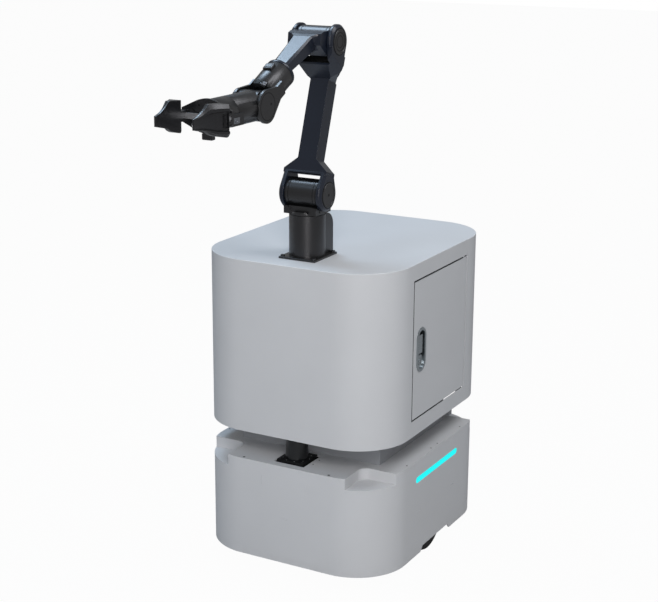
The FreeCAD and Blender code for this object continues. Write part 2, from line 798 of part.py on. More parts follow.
def cabinet_frame():
    """Welded frame on the neck: two long rails, two end beams and the equipment tray."""
    low = CABINET_BOTTOM
    wall = BODY_LENGTH / 2 - CABINET_SHEET
    lip = BODY_LENGTH / 2 - CABINET_LIP
    rails = []
    for side in SIDES:
        middle = side * RAIL_X
        rails.append(box(
            Vector(middle - RAIL_WIDTH / 2, -lip, low), Vector(middle + RAIL_WIDTH / 2, lip, low + RAIL_HEIGHT)
        ))
    beam_low = low + CABINET_SHEET
    straight = BODY_WIDTH / 2 - BODY_CORNER
    reach = RAIL_X + RAIL_WIDTH / 2
    beams = []
    for end in SIDES:
        near = min(end * (wall - 2 * CABINET_LIP), end * wall)
        far = max(end * (wall - 2 * CABINET_LIP), end * wall)
        beams.append(box(Vector(-straight, near, beam_low), Vector(straight, far, low + RAIL_HEIGHT)))
        near = min(end * (wall - 3 * CABINET_LIP), end * (wall - 2 * CABINET_LIP))
        far = max(end * (wall - 3 * CABINET_LIP), end * (wall - 2 * CABINET_LIP))
        beams.append(box(Vector(-reach, near, beam_low), Vector(reach, far, low + RAIL_HEIGHT)))
    tray = box(Vector(-reach, NECK_FRONT, low), Vector(reach, NECK_REAR, low + TRAY))
    inside = body_prism(CABINET_SHEET, beam_low, low + RAIL_HEIGHT).fuse(body_prism(CABINET_LIP, low, beam_low))
    return fused(rails + beams + [tray]).cut(cable_hole(low)).common(inside)


def main_computer():
    """Finned computer on the tray."""
    return finned_box(COMPUTER, COMPUTER_AT, CABINET_BOTTOM + TRAY)


def arm_supply():
    """Power supply of the arm on the tray."""
    supply = standing_box(ARM_SUPPLY, ARM_SUPPLY_AT, CABINET_BOTTOM + TRAY)
    edges = [e for e in supply.Edges if e.BoundBox.ZMin > CABINET_BOTTOM + TRAY + 1]
    return supply.makeFillet(2.5, edges)


def roof_stiffener():
    """Plate under the roof that the arm's foot is bolted through."""
    top = CABINET_TOP - CABINET_SHEET
    return standing_box(STIFFENER, Vector(0, ARM_Y, 0), top - STIFFENER.z).cut(foot_holes())


def door_panel():
    """The door: a flat sheet with returned edges and tubes for its hinge pins."""
    outer_x = BODY_WIDTH / 2
    front = DOOR_FRONT + DOOR_GAP
    rear = DOOR_REAR - DOOR_GAP
    low = DOOR_LOW + DOOR_GAP
    high = DOOR_HIGH - DOOR_GAP
    block = box(Vector(outer_x - DOOR_RETURN, front, low), Vector(outer_x, rear, high))
    t = DOOR_SHEET
    hollow = box(
        Vector(outer_x - DOOR_RETURN - 1, front + t, low + t), Vector(outer_x - t, rear - t, high - t)
    )
    panel = block.cut(hollow)
    ends = []
    for z in (low, high - 2 * HINGE_BLOCK_HEIGHT):
        ends.append(box(
            Vector(outer_x - DOOR_RETURN, HINGE_Y - HINGE_BLOCK / 2, z),
            Vector(outer_x - t, rear - t, z + 2 * HINGE_BLOCK_HEIGHT),
        ))
    panel = fused([panel] + ends)
    cup = slot_prism(CUP_LENGTH + 2 * CUP_WALL, CUP_WIDTH + 2 * CUP_WALL, DOOR_RETURN + 2)
    cup = facing(cup, Z_AXIS, -Y_AXIS, X_AXIS, Vector(outer_x - DOOR_RETURN - 1, HANDLE_Y, HANDLE_Z))
    return panel.cut([cup] + [pin.copy() for pin in hinge_pin_solids(HINGE_RADIUS)])


def hinge_pin_solids(radius):
    """Both hinge pins, from inside the door's ends into the cabinet's brackets."""
    low = DOOR_LOW + DOOR_GAP
    high = DOOR_HIGH - DOOR_GAP
    inside = 1.5 * HINGE_BLOCK_HEIGHT
    reach = DOOR_GAP + HINGE_PIN_REACH
    below = rod(radius, Vector(HINGE_X, HINGE_Y, low - reach), reach + inside, Z_AXIS)
    above = rod(radius, Vector(HINGE_X, HINGE_Y, high - inside), reach + inside, Z_AXIS)
    return [below, above]


def hinge_pins():
    """Two pins on the door's vertical axis."""
    return Part.makeCompound(hinge_pin_solids(HINGE_RADIUS))


def hinge_brackets():
    """Two blocks on the inner side of the cabinet wall, above and below the door."""
    wall = BODY_WIDTH / 2 - CABINET_SHEET
    half = HINGE_BLOCK / 2
    tall = HINGE_BLOCK_HEIGHT
    bores = hinge_pin_solids(HINGE_RADIUS + RUNNING_CLEARANCE)
    blocks = []
    for z in (DOOR_LOW - tall - 0.5, DOOR_HIGH + 0.5):
        block = box(Vector(HINGE_X - half, HINGE_Y - half, z), Vector(wall, HINGE_Y + half, z + tall))
        blocks.append(block.cut(bores))
    return Part.makeCompound(blocks)


def in_handle(shape, depth, up=0.0):
    """Lays a slot shape in the door at the handle, long side upright, at a depth from the door's face."""
    at = Vector(BODY_WIDTH / 2 - depth, HANDLE_Y, HANDLE_Z + up)
    return facing(shape, Z_AXIS, -Y_AXIS, X_AXIS, at)


def handle_bezel():
    """Flush pull: a rounded rim, a cup behind it and the seat of the lock."""
    rim = slot_prism(HANDLE_LENGTH, HANDLE_WIDTH, HANDLE_PROUD)
    edges = [e for e in rim.Edges if e.BoundBox.ZMin > HANDLE_PROUD - 0.01]
    rim = in_handle(rim.makeChamfer(1.0, edges), 0)
    cup = in_handle(slot_prism(CUP_LENGTH + 2 * CUP_WALL, CUP_WIDTH + 2 * CUP_WALL, CUP_DEPTH), CUP_DEPTH)
    hollow = in_handle(slot_prism(CUP_LENGTH, CUP_WIDTH, CUP_DEPTH + 5), CUP_DEPTH - CUP_WALL)
    bezel = fused([rim, cup]).cut(hollow)
    face = BODY_WIDTH / 2
    back = Vector(face - CUP_DEPTH + CUP_WALL, HANDLE_Y, HANDLE_Z + LOCK_Z + 1)
    seat = rod(CUP_WIDTH / 2, back, CUP_DEPTH - CUP_WALL - 2, X_AXIS)
    middle = Vector(face - CUP_DEPTH - 1, HANDLE_Y, HANDLE_Z + LOCK_Z)
    barrel = rod(LOCK_RADIUS + RUNNING_CLEARANCE, middle + Vector(3, 0, 0), 40, X_AXIS)
    stem = rod(LOCK_STEM_RADIUS + RUNNING_CLEARANCE, middle, 40, X_AXIS)
    half = CUP_WIDTH / 2 + CUP_WALL - 0.6
    pivot = Vector(face - LEVER_PIN_DEPTH, HANDLE_Y - half, HANDLE_Z + LEVER_PIVOT_Z)
    pin = rod(LEVER_PIN_RADIUS + RUNNING_CLEARANCE, pivot, 2 * half, Y_AXIS)
    keep = in_handle(slot_prism(CUP_LENGTH + 1, CUP_WIDTH + 1, 30), CUP_DEPTH)
    return fused([bezel, seat.common(keep)]).cut([barrel, stem, pin])


def handle_lever():
    """Folding pull with a rounded grip, hinged low in the cup."""
    face = BODY_WIDTH / 2
    half = LEVER_WIDTH / 2
    low = HANDLE_Z + LEVER_LOW
    high = HANDLE_Z + LEVER_HIGH
    blade = box(Vector(face - LEVER_THICK - 1, HANDLE_Y - half, low), Vector(face - 1, HANDLE_Y + half, high))
    upright = [e for e in blade.Edges if abs(e.tangentAt(e.FirstParameter).z) > 0.99]
    blade = blade.makeFillet(1.5, upright)
    reach = CUP_WIDTH / 2 + CUP_WALL - 0.8
    pivot = Vector(face - LEVER_PIN_DEPTH, HANDLE_Y - reach, HANDLE_Z + LEVER_PIVOT_Z)
    pin = rod(LEVER_PIN_RADIUS, pivot, 2 * reach, Y_AXIS)
    boss = rod(4.2, Vector(pivot.x, HANDLE_Y - half, pivot.z), LEVER_WIDTH, Y_AXIS)
    return fused([blade, boss, pin])


def door_lock():
    """Lock barrel with its key slot and the cam behind the door, drawn unlocked."""
    face = BODY_WIDTH / 2
    seat = face - CUP_DEPTH + 2.3
    middle = Vector(seat, HANDLE_Y, HANDLE_Z + LOCK_Z)
    barrel = rod(LOCK_RADIUS, middle, face - 1.2 - seat, X_AXIS)
    back = face - CUP_DEPTH - 0.4
    stem = rod(LOCK_STEM_RADIUS, Vector(back - CAM_THICK, middle.y, middle.z), seat - back + CAM_THICK, X_AXIS)
    cam = slot_prism(CAM_LENGTH + CAM_WIDTH, CAM_WIDTH, CAM_THICK)
    at = Vector(back - CAM_THICK, middle.y, middle.z + CAM_LENGTH / 2)
    cam = facing(cam, Z_AXIS, -Y_AXIS, X_AXIS, at)
    slot = box(Vector(face - 4, middle.y - 0.8, middle.z - 4), Vector(face, middle.y + 0.8, middle.z + 4))
    return fused([barrel, stem, cam]).cut(slot)


def foot_holes(depth=60.0):
    """Four bolt holes through the arm's foot and the plate under the roof."""
    holes = []
    for side in SIDES:
        for end in SIDES:
            x = FOOT_X + side * (FOOT_WIDTH / 2 - FOOT_HOLE_INSET)
            y = ARM_Y + end * (FOOT_LENGTH / 2 - FOOT_HOLE_INSET)
            holes.append(rod(FOOT_HOLE, Vector(x, y, CABINET_TOP - depth / 2), depth, Z_AXIS))
    return holes


def arm_foot():
    """Square foot plate of the arm."""
    plate = standing_box(Vector(FOOT_WIDTH, FOOT_LENGTH, FOOT), Vector(FOOT_X, ARM_Y, 0), CABINET_TOP)
    return plate.cut(foot_holes())


def arm_column():
    """Fixed column with the socket housing at its back, rounded over at the top."""
    low = CABINET_TOP + FOOT
    column = rod(COLUMN_RADIUS, Vector(0, ARM_Y, low), COLUMN_TOP - low, Z_AXIS)
    bend = COLUMN_TOP - SOCKET_CURVE
    near = SOCKET_REAR - SOCKET_CURVE
    half = SOCKET_HALF_WIDTH
    corner = SOCKET_CURVE * (1 - math.sqrt(0.5))
    edges = [
        Part.LineSegment(Vector(-half, ARM_Y, low), Vector(-half, SOCKET_REAR, low)).toShape(),
        Part.LineSegment(Vector(-half, SOCKET_REAR, low), Vector(-half, SOCKET_REAR, bend)).toShape(),
        Part.Arc(
            Vector(-half, SOCKET_REAR, bend),
            Vector(-half, SOCKET_REAR - corner, COLUMN_TOP - corner),
            Vector(-half, near, COLUMN_TOP),
        ).toShape(),
        Part.LineSegment(Vector(-half, near, COLUMN_TOP), Vector(-half, ARM_Y, COLUMN_TOP)).toShape(),
        Part.LineSegment(Vector(-half, ARM_Y, COLUMN_TOP), Vector(-half, ARM_Y, low)).toShape(),
    ]
    housing = Part.Face(Part.Wire(edges)).extrude(Vector(2 * half, 0, 0))
    bore = rod(
        SPIGOT_RADIUS + RUNNING_CLEARANCE, Vector(0, ARM_Y, COLUMN_TOP - SPIGOT_DEPTH - 1), SPIGOT_DEPTH + 2, Z_AXIS
    )
    return fused([column, housing]).cut(bore)


def arm_turret():
    """Turning saddle: a ring on the column and a cradle for the shoulder motor."""
    low = COLUMN_TOP + TURRET_GAP
    ring = rod(TURRET_RADIUS, Vector(0, ARM_Y, low), TURRET_RING, Z_AXIS)
    spigot = rod(SPIGOT_RADIUS, Vector(0, ARM_Y, low - SPIGOT_DEPTH), SPIGOT_DEPTH + 1, Z_AXIS)
    cradle = box(
        Vector(-TURRET_HALF_WIDTH, SHOULDER.y - TURRET_HALF_DEPTH, low + 2),
        Vector(TURRET_HALF_WIDTH, SHOULDER.y + TURRET_HALF_DEPTH, SHOULDER.z - TURRET_SEAT),
    )
    front = SHOULDER.y - TURRET_HALF_DEPTH
    window = polygon([
        Vector(-27, front - 1, SHOULDER.z - TURRET_SEAT + 1),
        Vector(27, front - 1, SHOULDER.z - TURRET_SEAT + 1),
        Vector(18, front - 1, low + 4.5),
        Vector(-18, front - 1, low + 4.5),
    ]).extrude(Vector(0, 5, 0))
    motor = cross_rod(MOTOR_RADIUS, TURRET_HALF_WIDTH + 2, SHOULDER.y, SHOULDER.z)
    return fused([ring, spigot, cradle]).cut([motor, window])


def joint_motor(centre):
    """A drum motor along X with a shaft stub at each end."""
    drum = cross_rod(MOTOR_RADIUS, MOTOR_HALF_WIDTH, centre.y, centre.z)
    edges = [e for e in drum.Edges if abs(e.BoundBox.XMin - e.BoundBox.XMax) < 0.01]
    drum = drum.makeChamfer(1.0, edges)
    stub = cross_rod(STUB_RADIUS, FORK_OUTER - CAP - 0.4, centre.y, centre.z)
    return fused([drum, stub])


def teardrop(centre_along, centre_across, radius, points):
    """Side outline of a fork end: a disc joined to the corners of a neck, as a prism over the arm's width."""
    disc = cross_rod(radius, FORK_OUTER, centre_across, centre_along)
    solids = [disc]
    for first, second in zip(points[:-1], points[1:]):
        web = polygon([
            Vector(-FORK_OUTER, first[1], first[0]),
            Vector(-FORK_OUTER, second[1], second[0]),
            Vector(-FORK_OUTER, centre_across, centre_along),
        ])
        solids.append(web.extrude(Vector(2 * FORK_OUTER, 0, 0)))
    return fused(solids)


def tangent_point(along, across, centre_along, centre_across, radius, hand):
    """Where the line from a corner touches the disc, on its left (1) or right (-1) hand."""
    d_along = along - centre_along
    d_across = across - centre_across
    distance = math.hypot(d_along, d_across)
    spread = math.acos(radius / distance)
    angle = math.atan2(d_across, d_along) + hand * spread
    return centre_along + radius * math.cos(angle), centre_across + radius * math.sin(angle)


def bevelled(solid):
    """A fork's side outline with the rim of its round outer faces cut back."""
    rims = []
    for edge in solid.Edges:
        bounds = edge.BoundBox
        flat = bounds.XMax - bounds.XMin < 0.01 and abs(abs(bounds.XMax) - FORK_OUTER) < 0.01
        if flat and edge.Curve.TypeId == "Part::GeomCircle":
            rims.append(edge)
    return solid.makeChamfer(FORK_BEVEL, rims)


def beam_side():
    """The upper arm seen from the side, as a prism over its full width."""
    low_front = (SPREAD_LOW, BEAM_FRONT + 1)
    low_back = (SPREAD_LOW, BEAM_BACK + 1)
    lower = teardrop(0, 0, FORK_RADIUS, [
        tangent_point(*low_front, 0, 0, FORK_RADIUS, -1), low_front, low_back,
        tangent_point(*low_back, 0, 0, FORK_RADIUS, 1),
    ])
    ledge = (LEDGE_ALONG, LEDGE_ACROSS)
    cheek = (CHEEK_ALONG, CHEEK_BACK)
    front = tangent_point(*ledge, ELBOW_ALONG, ELBOW_ACROSS, FORK_RADIUS, 1)
    back = tangent_point(*cheek, ELBOW_ALONG, ELBOW_ACROSS, FORK_RADIUS, -1)
    corners = [
        back, cheek, (CHEEK_ALONG - 7.5, CHEEK_BACK - 0.5), (BEAM_HIGH - 2, BEAM_BACK),
        (BEAM_HIGH - 8, BEAM_BACK), (BEAM_HIGH - 8, BEAM_FRONT), (NOSE_ALONG, BEAM_FRONT), ledge, front,
    ]
    places = [Vector(-FORK_OUTER, across, along) for along, across in corners]
    top = Vector(-FORK_OUTER, ELBOW_ACROSS, ELBOW_ALONG + FORK_RADIUS)
    edges = [Part.LineSegment(a, b).toShape() for a, b in zip(places[:-1], places[1:])]
    edges.append(Part.Arc(places[-1], top, places[0]).toShape())
    upper = Part.Face(Part.Wire(edges)).extrude(Vector(2 * FORK_OUTER, 0, 0))
    strip = box(
        Vector(-FORK_OUTER, BEAM_FRONT, SPREAD_LOW - 8), Vector(FORK_OUTER, BEAM_BACK, BEAM_HIGH - 8)
    )
    return fused([bevelled(lower), upper, strip])


def beam_front():
    """The upper arm seen from the front, as a prism from far front to far back."""
    w = BEAM_HALF_WIDTH
    f = FORK_OUTER
    top = ELBOW_ALONG + FORK_RADIUS + 5
    low = -FORK_RADIUS - 5
    outline = [
        (-f, low), (f, low), (f, SPREAD_LOW), (w, BEAM_LOW), (w, BEAM_HIGH), (f, SPREAD_HIGH), (f, top),
        (-f, top), (-f, SPREAD_HIGH), (-w, BEAM_HIGH), (-w, BEAM_LOW), (-f, SPREAD_LOW),
    ]
    face = polygon([Vector(x, -120, z) for x, z in outline])
    return face.extrude(Vector(0, 200, 0))


def fork_room(radius, along, across):
    """Round space between the cheeks of a fork."""
    return cross_rod(radius, MOTOR_HALF_WIDTH + FORK_GAP, across, along)


def elbow_bevels():
    """What the bevels take off the rims of the elbow fork's outer faces."""
    ledge = (LEDGE_ALONG, LEDGE_ACROSS)
    along, across = tangent_point(*ledge, ELBOW_ALONG, ELBOW_ACROSS, FORK_RADIUS, 1)
    far = Vector(-60, 2 * across - ELBOW_ACROSS, 2 * along - ELBOW_ALONG)
    below = polygon([
        Vector(-60, ELBOW_ACROSS, ELBOW_ALONG), Vector(-60, ELBOW_ACROSS - 60, ELBOW_ALONG + 0.01), far,
    ]).extrude(Vector(120, 0, 0))
    free = box(Vector(-60, -150, ELBOW_ALONG), Vector(60, 60, ELBOW_ALONG + 60)).fuse(below)
    reach = FORK_BEVEL + 1
    back = ELBOW_ACROSS + FORK_RADIUS
    cuts = []
    for side in SIDES:
        inner = side * (FORK_OUTER - FORK_BEVEL)
        outer = side * (FORK_OUTER + 1)
        start = Vector(inner, ELBOW_ACROSS, ELBOW_ALONG)
        ring = rod(FORK_RADIUS + 5, start, reach, Vector(side, 0, 0))
        cone = Part.makeCone(FORK_RADIUS, FORK_RADIUS - reach, reach, start, Vector(side, 0, 0))
        cuts.append(ring.cut(cone).common(free))
        edge = polygon([
            Vector(inner, back, BEAM_HIGH), Vector(outer, back, BEAM_HIGH), Vector(outer, back - reach, BEAM_HIGH),
        ])
        cuts.append(edge.extrude(Vector(0, 0, ELBOW_ALONG - BEAM_HIGH)))
    return cuts


def fork_facets():
    """What the slanted faces take off the outside of the elbow fork's front, one solid per side."""
    facets = []
    for side in SIDES:
        corner = Vector(side * FORK_OUTER, CHEEK_BACK, CHEEK_ALONG)
        outward = Vector(side * 0.667, -0.254, -0.699)
        outward.normalize()
        rise = Vector(side * 13, 1.5, 11.5)
        rise.normalize()
        aside = outward.cross(rise)
        span = 70
        ends = [corner + rise * u + aside * v for u, v in ((-span, -span), (span, -span), (span, span), (-span, span))]
        reach = box(Vector(-60, -130, BEAM_HIGH), Vector(60, CHEEK_BACK + 3, ELBOW_ALONG))
        facets.append(polygon(ends).extrude(outward * 60).common(reach))
    return facets


def side_recesses():
    """Shallow panels sunk in the outer faces of the shoulder fork above its caps."""
    recesses = []
    for side in SIDES:
        x = side * FORK_OUTER
        panel = polygon([Vector(x, -17, 36.5), Vector(x, 7.6, 37), Vector(x, 17.5, 22.3), Vector(x, -18.3, 23.4)])
        panel = panel.extrude(Vector(-side * 1.0, 0, 0))
        recesses.append(panel.cut(cross_rod(FORK_RADIUS - FORK_BEVEL, FORK_OUTER + 1)))
    return recesses


def upper_arm():
    """Upper arm: a square beam that spreads into a fork at each end."""
    half = MOTOR_HALF_WIDTH + FORK_GAP
    arm = beam_side().common(beam_front()).cut(elbow_bevels() + fork_facets() + side_recesses())
    rooms = [
        fork_room(FORK_WINDOW, 0, 0),
        fork_room(FORK_WINDOW, ELBOW_ALONG, ELBOW_ACROSS),
        box(Vector(-half, -60, -60), Vector(half, 60, 20)),
        box(
            Vector(-half, ELBOW_ACROSS - 60, ELBOW_ALONG - 12), Vector(half, ELBOW_ACROSS + 60, ELBOW_ALONG + 60)
        ),
        box(Vector(-half, ELBOW_ACROSS - 60, NOSE_ALONG), Vector(half, WEB_ACROSS, ELBOW_ALONG)),
    ]
    bores = []
    for along, across in ((0, 0), (ELBOW_ALONG, ELBOW_ACROSS)):
        bores.append(cross_rod(STUB_RADIUS + RUNNING_CLEARANCE, FORK_OUTER + 1, across, along))
        for side in SIDES:
            seat = Vector(side * (FORK_OUTER - CAP), across, along)
            bores.append(rod(CAP_RADIUS, seat, 3 * CAP, Vector(side, 0, 0)))
    arm = arm.cut(rooms + bores)
    sill = box(Vector(-half - 0.5, 2, 35), Vector(half + 0.5, BEAM_BACK, 47))
    right = [(BEAM_HALF_WIDTH, 206), (BEAM_HALF_WIDTH, BEAM_HIGH), (28, 226), (half, 246), (half, 262)]
    outline = [Vector(x, 0, z) for x, z in right] + [Vector(-x, 0, z) for x, z in reversed(right)]
    lining = polygon(outline).extrude(Vector(0, 11, 0))
    lining.translate(Vector(0, -12, 0))
    lining = lining.cut(fork_room(FORK_WINDOW + 1, ELBOW_ALONG, ELBOW_ACROSS))
    arm = arm.fuse([sill.common(beam_front()), lining]).removeSplitter()
    return tilted(arm, BEAM_LEAN, SHOULDER)


def fork_caps(along, across):
    """The pair of round caps over a joint's shaft."""
    caps = []
    for side in SIDES:
        start = Vector(side * (FORK_OUTER - CAP), across, along)
        caps.append(rod(CAP_RADIUS, start, CAP + CAP_PROUD, Vector(side, 0, 0)))
    return tilted(Part.makeCompound(caps), BEAM_LEAN, SHOULDER)


def section(half_top, half_side, top, low, along):
    """A flat-topped section of the forearm with bevelled edges, at a distance along it."""
    corners = [
        (half_top, top), (half_side, top - 3), (half_side, low + 3), (half_side - 3, low),
        (3 - half_side, low), (-half_side, low + 3), (-half_side, top - 3), (-half_top, top),
    ]
    points = [Vector(x, up, along) for x, up in corners]
    return Part.makePolygon(points + [points[0]])


def forearm_shroud():
    """Forearm housing: a head behind the elbow motor that tapers to the roll joint's ring."""
    outline = [
        (7.7, 27.8), (28.1, 38.3), (37.7, 39.3), (49.4, 22.2), (41.2, 3), (36, -9), (25.5, -13), (19, 0), (7, 19),
    ]
    head = polygon([Vector(-SHROUD_HEAD, up, along) for along, up in outline])
    head = head.extrude(Vector(2 * SHROUD_HEAD, 0, 0))
    flare = Part.makeLoft([
        section(28, 31, SHROUD_TOP - 0.6, 2, SHROUD_START - 14),
        section(18, 21, SHROUD_TOP, 9, SHROUD_START - 4),
        section(17, 20, SHROUD_TOP, 9.6, SHROUD_START + 2),
    ], True, True)
    arm = Part.makeLoft([
        section(17, 20, SHROUD_TOP, 9.6, SHROUD_START), section(11, 17, SHROUD_TOP, 19.5, SHROUD_END + 1)
    ], True, True)
    ring = rod(RING_RADIUS, Vector(0, FOREARM_OFFSET, SHROUD_END), RING, Z_AXIS)
    drum = cross_rod(MOTOR_RADIUS, MOTOR_HALF_WIDTH + 5)
    bore = rod(
        ROLL_SPIGOT + RUNNING_CLEARANCE, Vector(0, FOREARM_OFFSET, SHROUD_END + RING - 20), 21, Z_AXIS
    )
    shroud = fused([head, flare, arm, ring]).cut([drum, bore])
    return tilted(shroud, 90 + FOREARM_SLOPE, ELBOW)


def roll_housing():
    """Round housing that rolls on the forearm and ends in the wrist's yoke."""
    start = SHROUD_END + RING + ROLL_GAP
    centre = Vector(0, FOREARM_OFFSET, start)
    body = rod(ROLL_RADIUS, centre, ROLL_END - start, Z_AXIS)
    spigot = rod(ROLL_SPIGOT, centre - Vector(0, 0, 19), 20, Z_AXIS)
    wrist_along = FOREARM_LENGTH
    arms = []
    for side in SIDES:
        inner = side * YOKE_INNER
        depth = side * (YOKE_OUTER - YOKE_INNER)
        disc = rod(YOKE_RADIUS, Vector(inner, FOREARM_OFFSET, wrist_along), abs(depth), Vector(side, 0, 0))
        neck = polygon([
            Vector(inner, FOREARM_OFFSET - YOKE_NECK, ROLL_END - 26),
            Vector(inner, FOREARM_OFFSET + YOKE_NECK, ROLL_END - 26),
            Vector(inner, FOREARM_OFFSET + YOKE_NECK, ROLL_END - 8),
            Vector(inner, FOREARM_OFFSET + 25, wrist_along - 16.5),
            Vector(inner, FOREARM_OFFSET, wrist_along),
            Vector(inner, FOREARM_OFFSET - 25, wrist_along - 16.5),
            Vector(inner, FOREARM_OFFSET - YOKE_NECK, ROLL_END - 8),
        ]).extrude(Vector(depth, 0, 0))
        arms.append(disc)
        arms.append(neck)
    bore = cross_rod(WRIST_STUB + RUNNING_CLEARANCE, YOKE_OUTER - 2, FOREARM_OFFSET, wrist_along)
    room = cross_rod(WRIST_RADIUS + 1.5, YOKE_INNER, FOREARM_OFFSET, wrist_along)
    housing = fused([body, spigot] + arms).cut([bore, room])
    return tilted(housing, 90 + FOREARM_SLOPE, ELBOW)


def in_hand(shape):
    """Places a shape of the hand: its Y is up, its Z points forward from the wrist axis."""
    return tilted(shape, 90, WRIST)


def wrist_housing():
    """Wrist motor across the yoke and the tool motor that stands out of it."""
    cross = cross_rod(WRIST_RADIUS, WRIST_HALF_WIDTH)
    step = rod(WRIST_RADIUS + 1, Vector(WRIST_HALF_WIDTH - WRIST_STEP, 0, 0), WRIST_STEP + 1, X_AXIS)
    step = step.cut(rod(WRIST_NECK_RADIUS, Vector(0, 0, 0), WRIST_HALF_WIDTH + 2, X_AXIS))
    stub = cross_rod(WRIST_STUB, YOKE_OUTER - 2.4)
    barrel = rod(HAND_RADIUS, Vector(0, 0, HAND_START), FLANGE_AT - HAND_START, Z_AXIS)
    root = rod(HAND_RADIUS, Vector(0, 0, 0), HAND_START, Z_AXIS)
    root = root.common(box(Vector(-WRIST_HALF_WIDTH, -40, 0), Vector(WRIST_HALF_WIDTH, 40, HAND_START)))
    bore = rod(STUB_RADIUS + RUNNING_CLEARANCE, Vector(0, 0, FLANGE_AT - 16), 17, Z_AXIS)
    return in_hand(fused([cross.cut(step), stub, barrel, root]).cut(bore))


def gripper_base():
    """Gripper housing on the tool flange, with the port on its right side."""
    start = FLANGE_AT + FLANGE_GAP
    body = rod(HAND_RADIUS, Vector(0, 0, start), PLATE_AT - start, Z_AXIS)
    spigot = rod(STUB_RADIUS, Vector(0, 0, start - 15), 16, Z_AXIS)
    port = Part.makeBox(
        SIDE_PORT.x + 10, SIDE_PORT.y, SIDE_PORT.z, Vector(HAND_RADIUS - 10, -SIDE_PORT.y + 1, FLANGE_AT - 5)
    )
    port = port.cut(rod(HAND_RADIUS + 0.3, Vector(0, 0, 0), start, Z_AXIS))
    return in_hand(fused([body, spigot, port]))


def gripper_plate():
    """Front plate: a rounded lozenge that carries the rail."""
    w = GRIP_HALF_WIDTH
    h = GRIP_HALF_HEIGHT
    t = GRIP_TIP_HALF
    z = PLATE_AT
    edges = [
        Part.Arc(Vector(-20, h - 4, z), Vector(0, h, z), Vector(20, h - 4, z)).toShape(),
        Part.LineSegment(Vector(20, h - 4, z), Vector(w, t, z)).toShape(),
        Part.LineSegment(Vector(w, t, z), Vector(w, -t, z)).toShape(),
        Part.LineSegment(Vector(w, -t, z), Vector(20, -h + 4, z)).toShape(),
        Part.Arc(Vector(20, -h + 4, z), Vector(0, -h, z), Vector(-20, -h + 4, z)).toShape(),
        Part.LineSegment(Vector(-20, -h + 4, z), Vector(-w, -t, z)).toShape(),
        Part.LineSegment(Vector(-w, -t, z), Vector(-w, t, z)).toShape(),
        Part.LineSegment(Vector(-w, t, z), Vector(-20, h - 4, z)).toShape(),
    ]
    plate = Part.Face(Part.Wire(edges)).extrude(Vector(0, 0, GRIP_PLATE))
    hub = rod(16, Vector(0, 0, z + GRIP_PLATE), 1.6, Z_AXIS)
    return in_hand(fused([plate, hub]))


def gripper_rail():
    """Straight rail across the front plate."""
    low = PLATE_AT + GRIP_PLATE + 1.6
    stand = box(Vector(-RAIL_HALF_LENGTH, -2.2, low - 1.6), Vector(RAIL_HALF_LENGTH, 2.2, low + 3))
    stand = stand.cut(rod(16, Vector(0, 0, low - 3), 3, Z_AXIS))
    head = box(
        Vector(-RAIL_HALF_LENGTH, -RAIL_HALF_HEIGHT, low + 1.5),
        Vector(RAIL_HALF_LENGTH, RAIL_HALF_HEIGHT, low + RAIL_DEPTH),
    )
    return in_hand(fused([stand, head]))


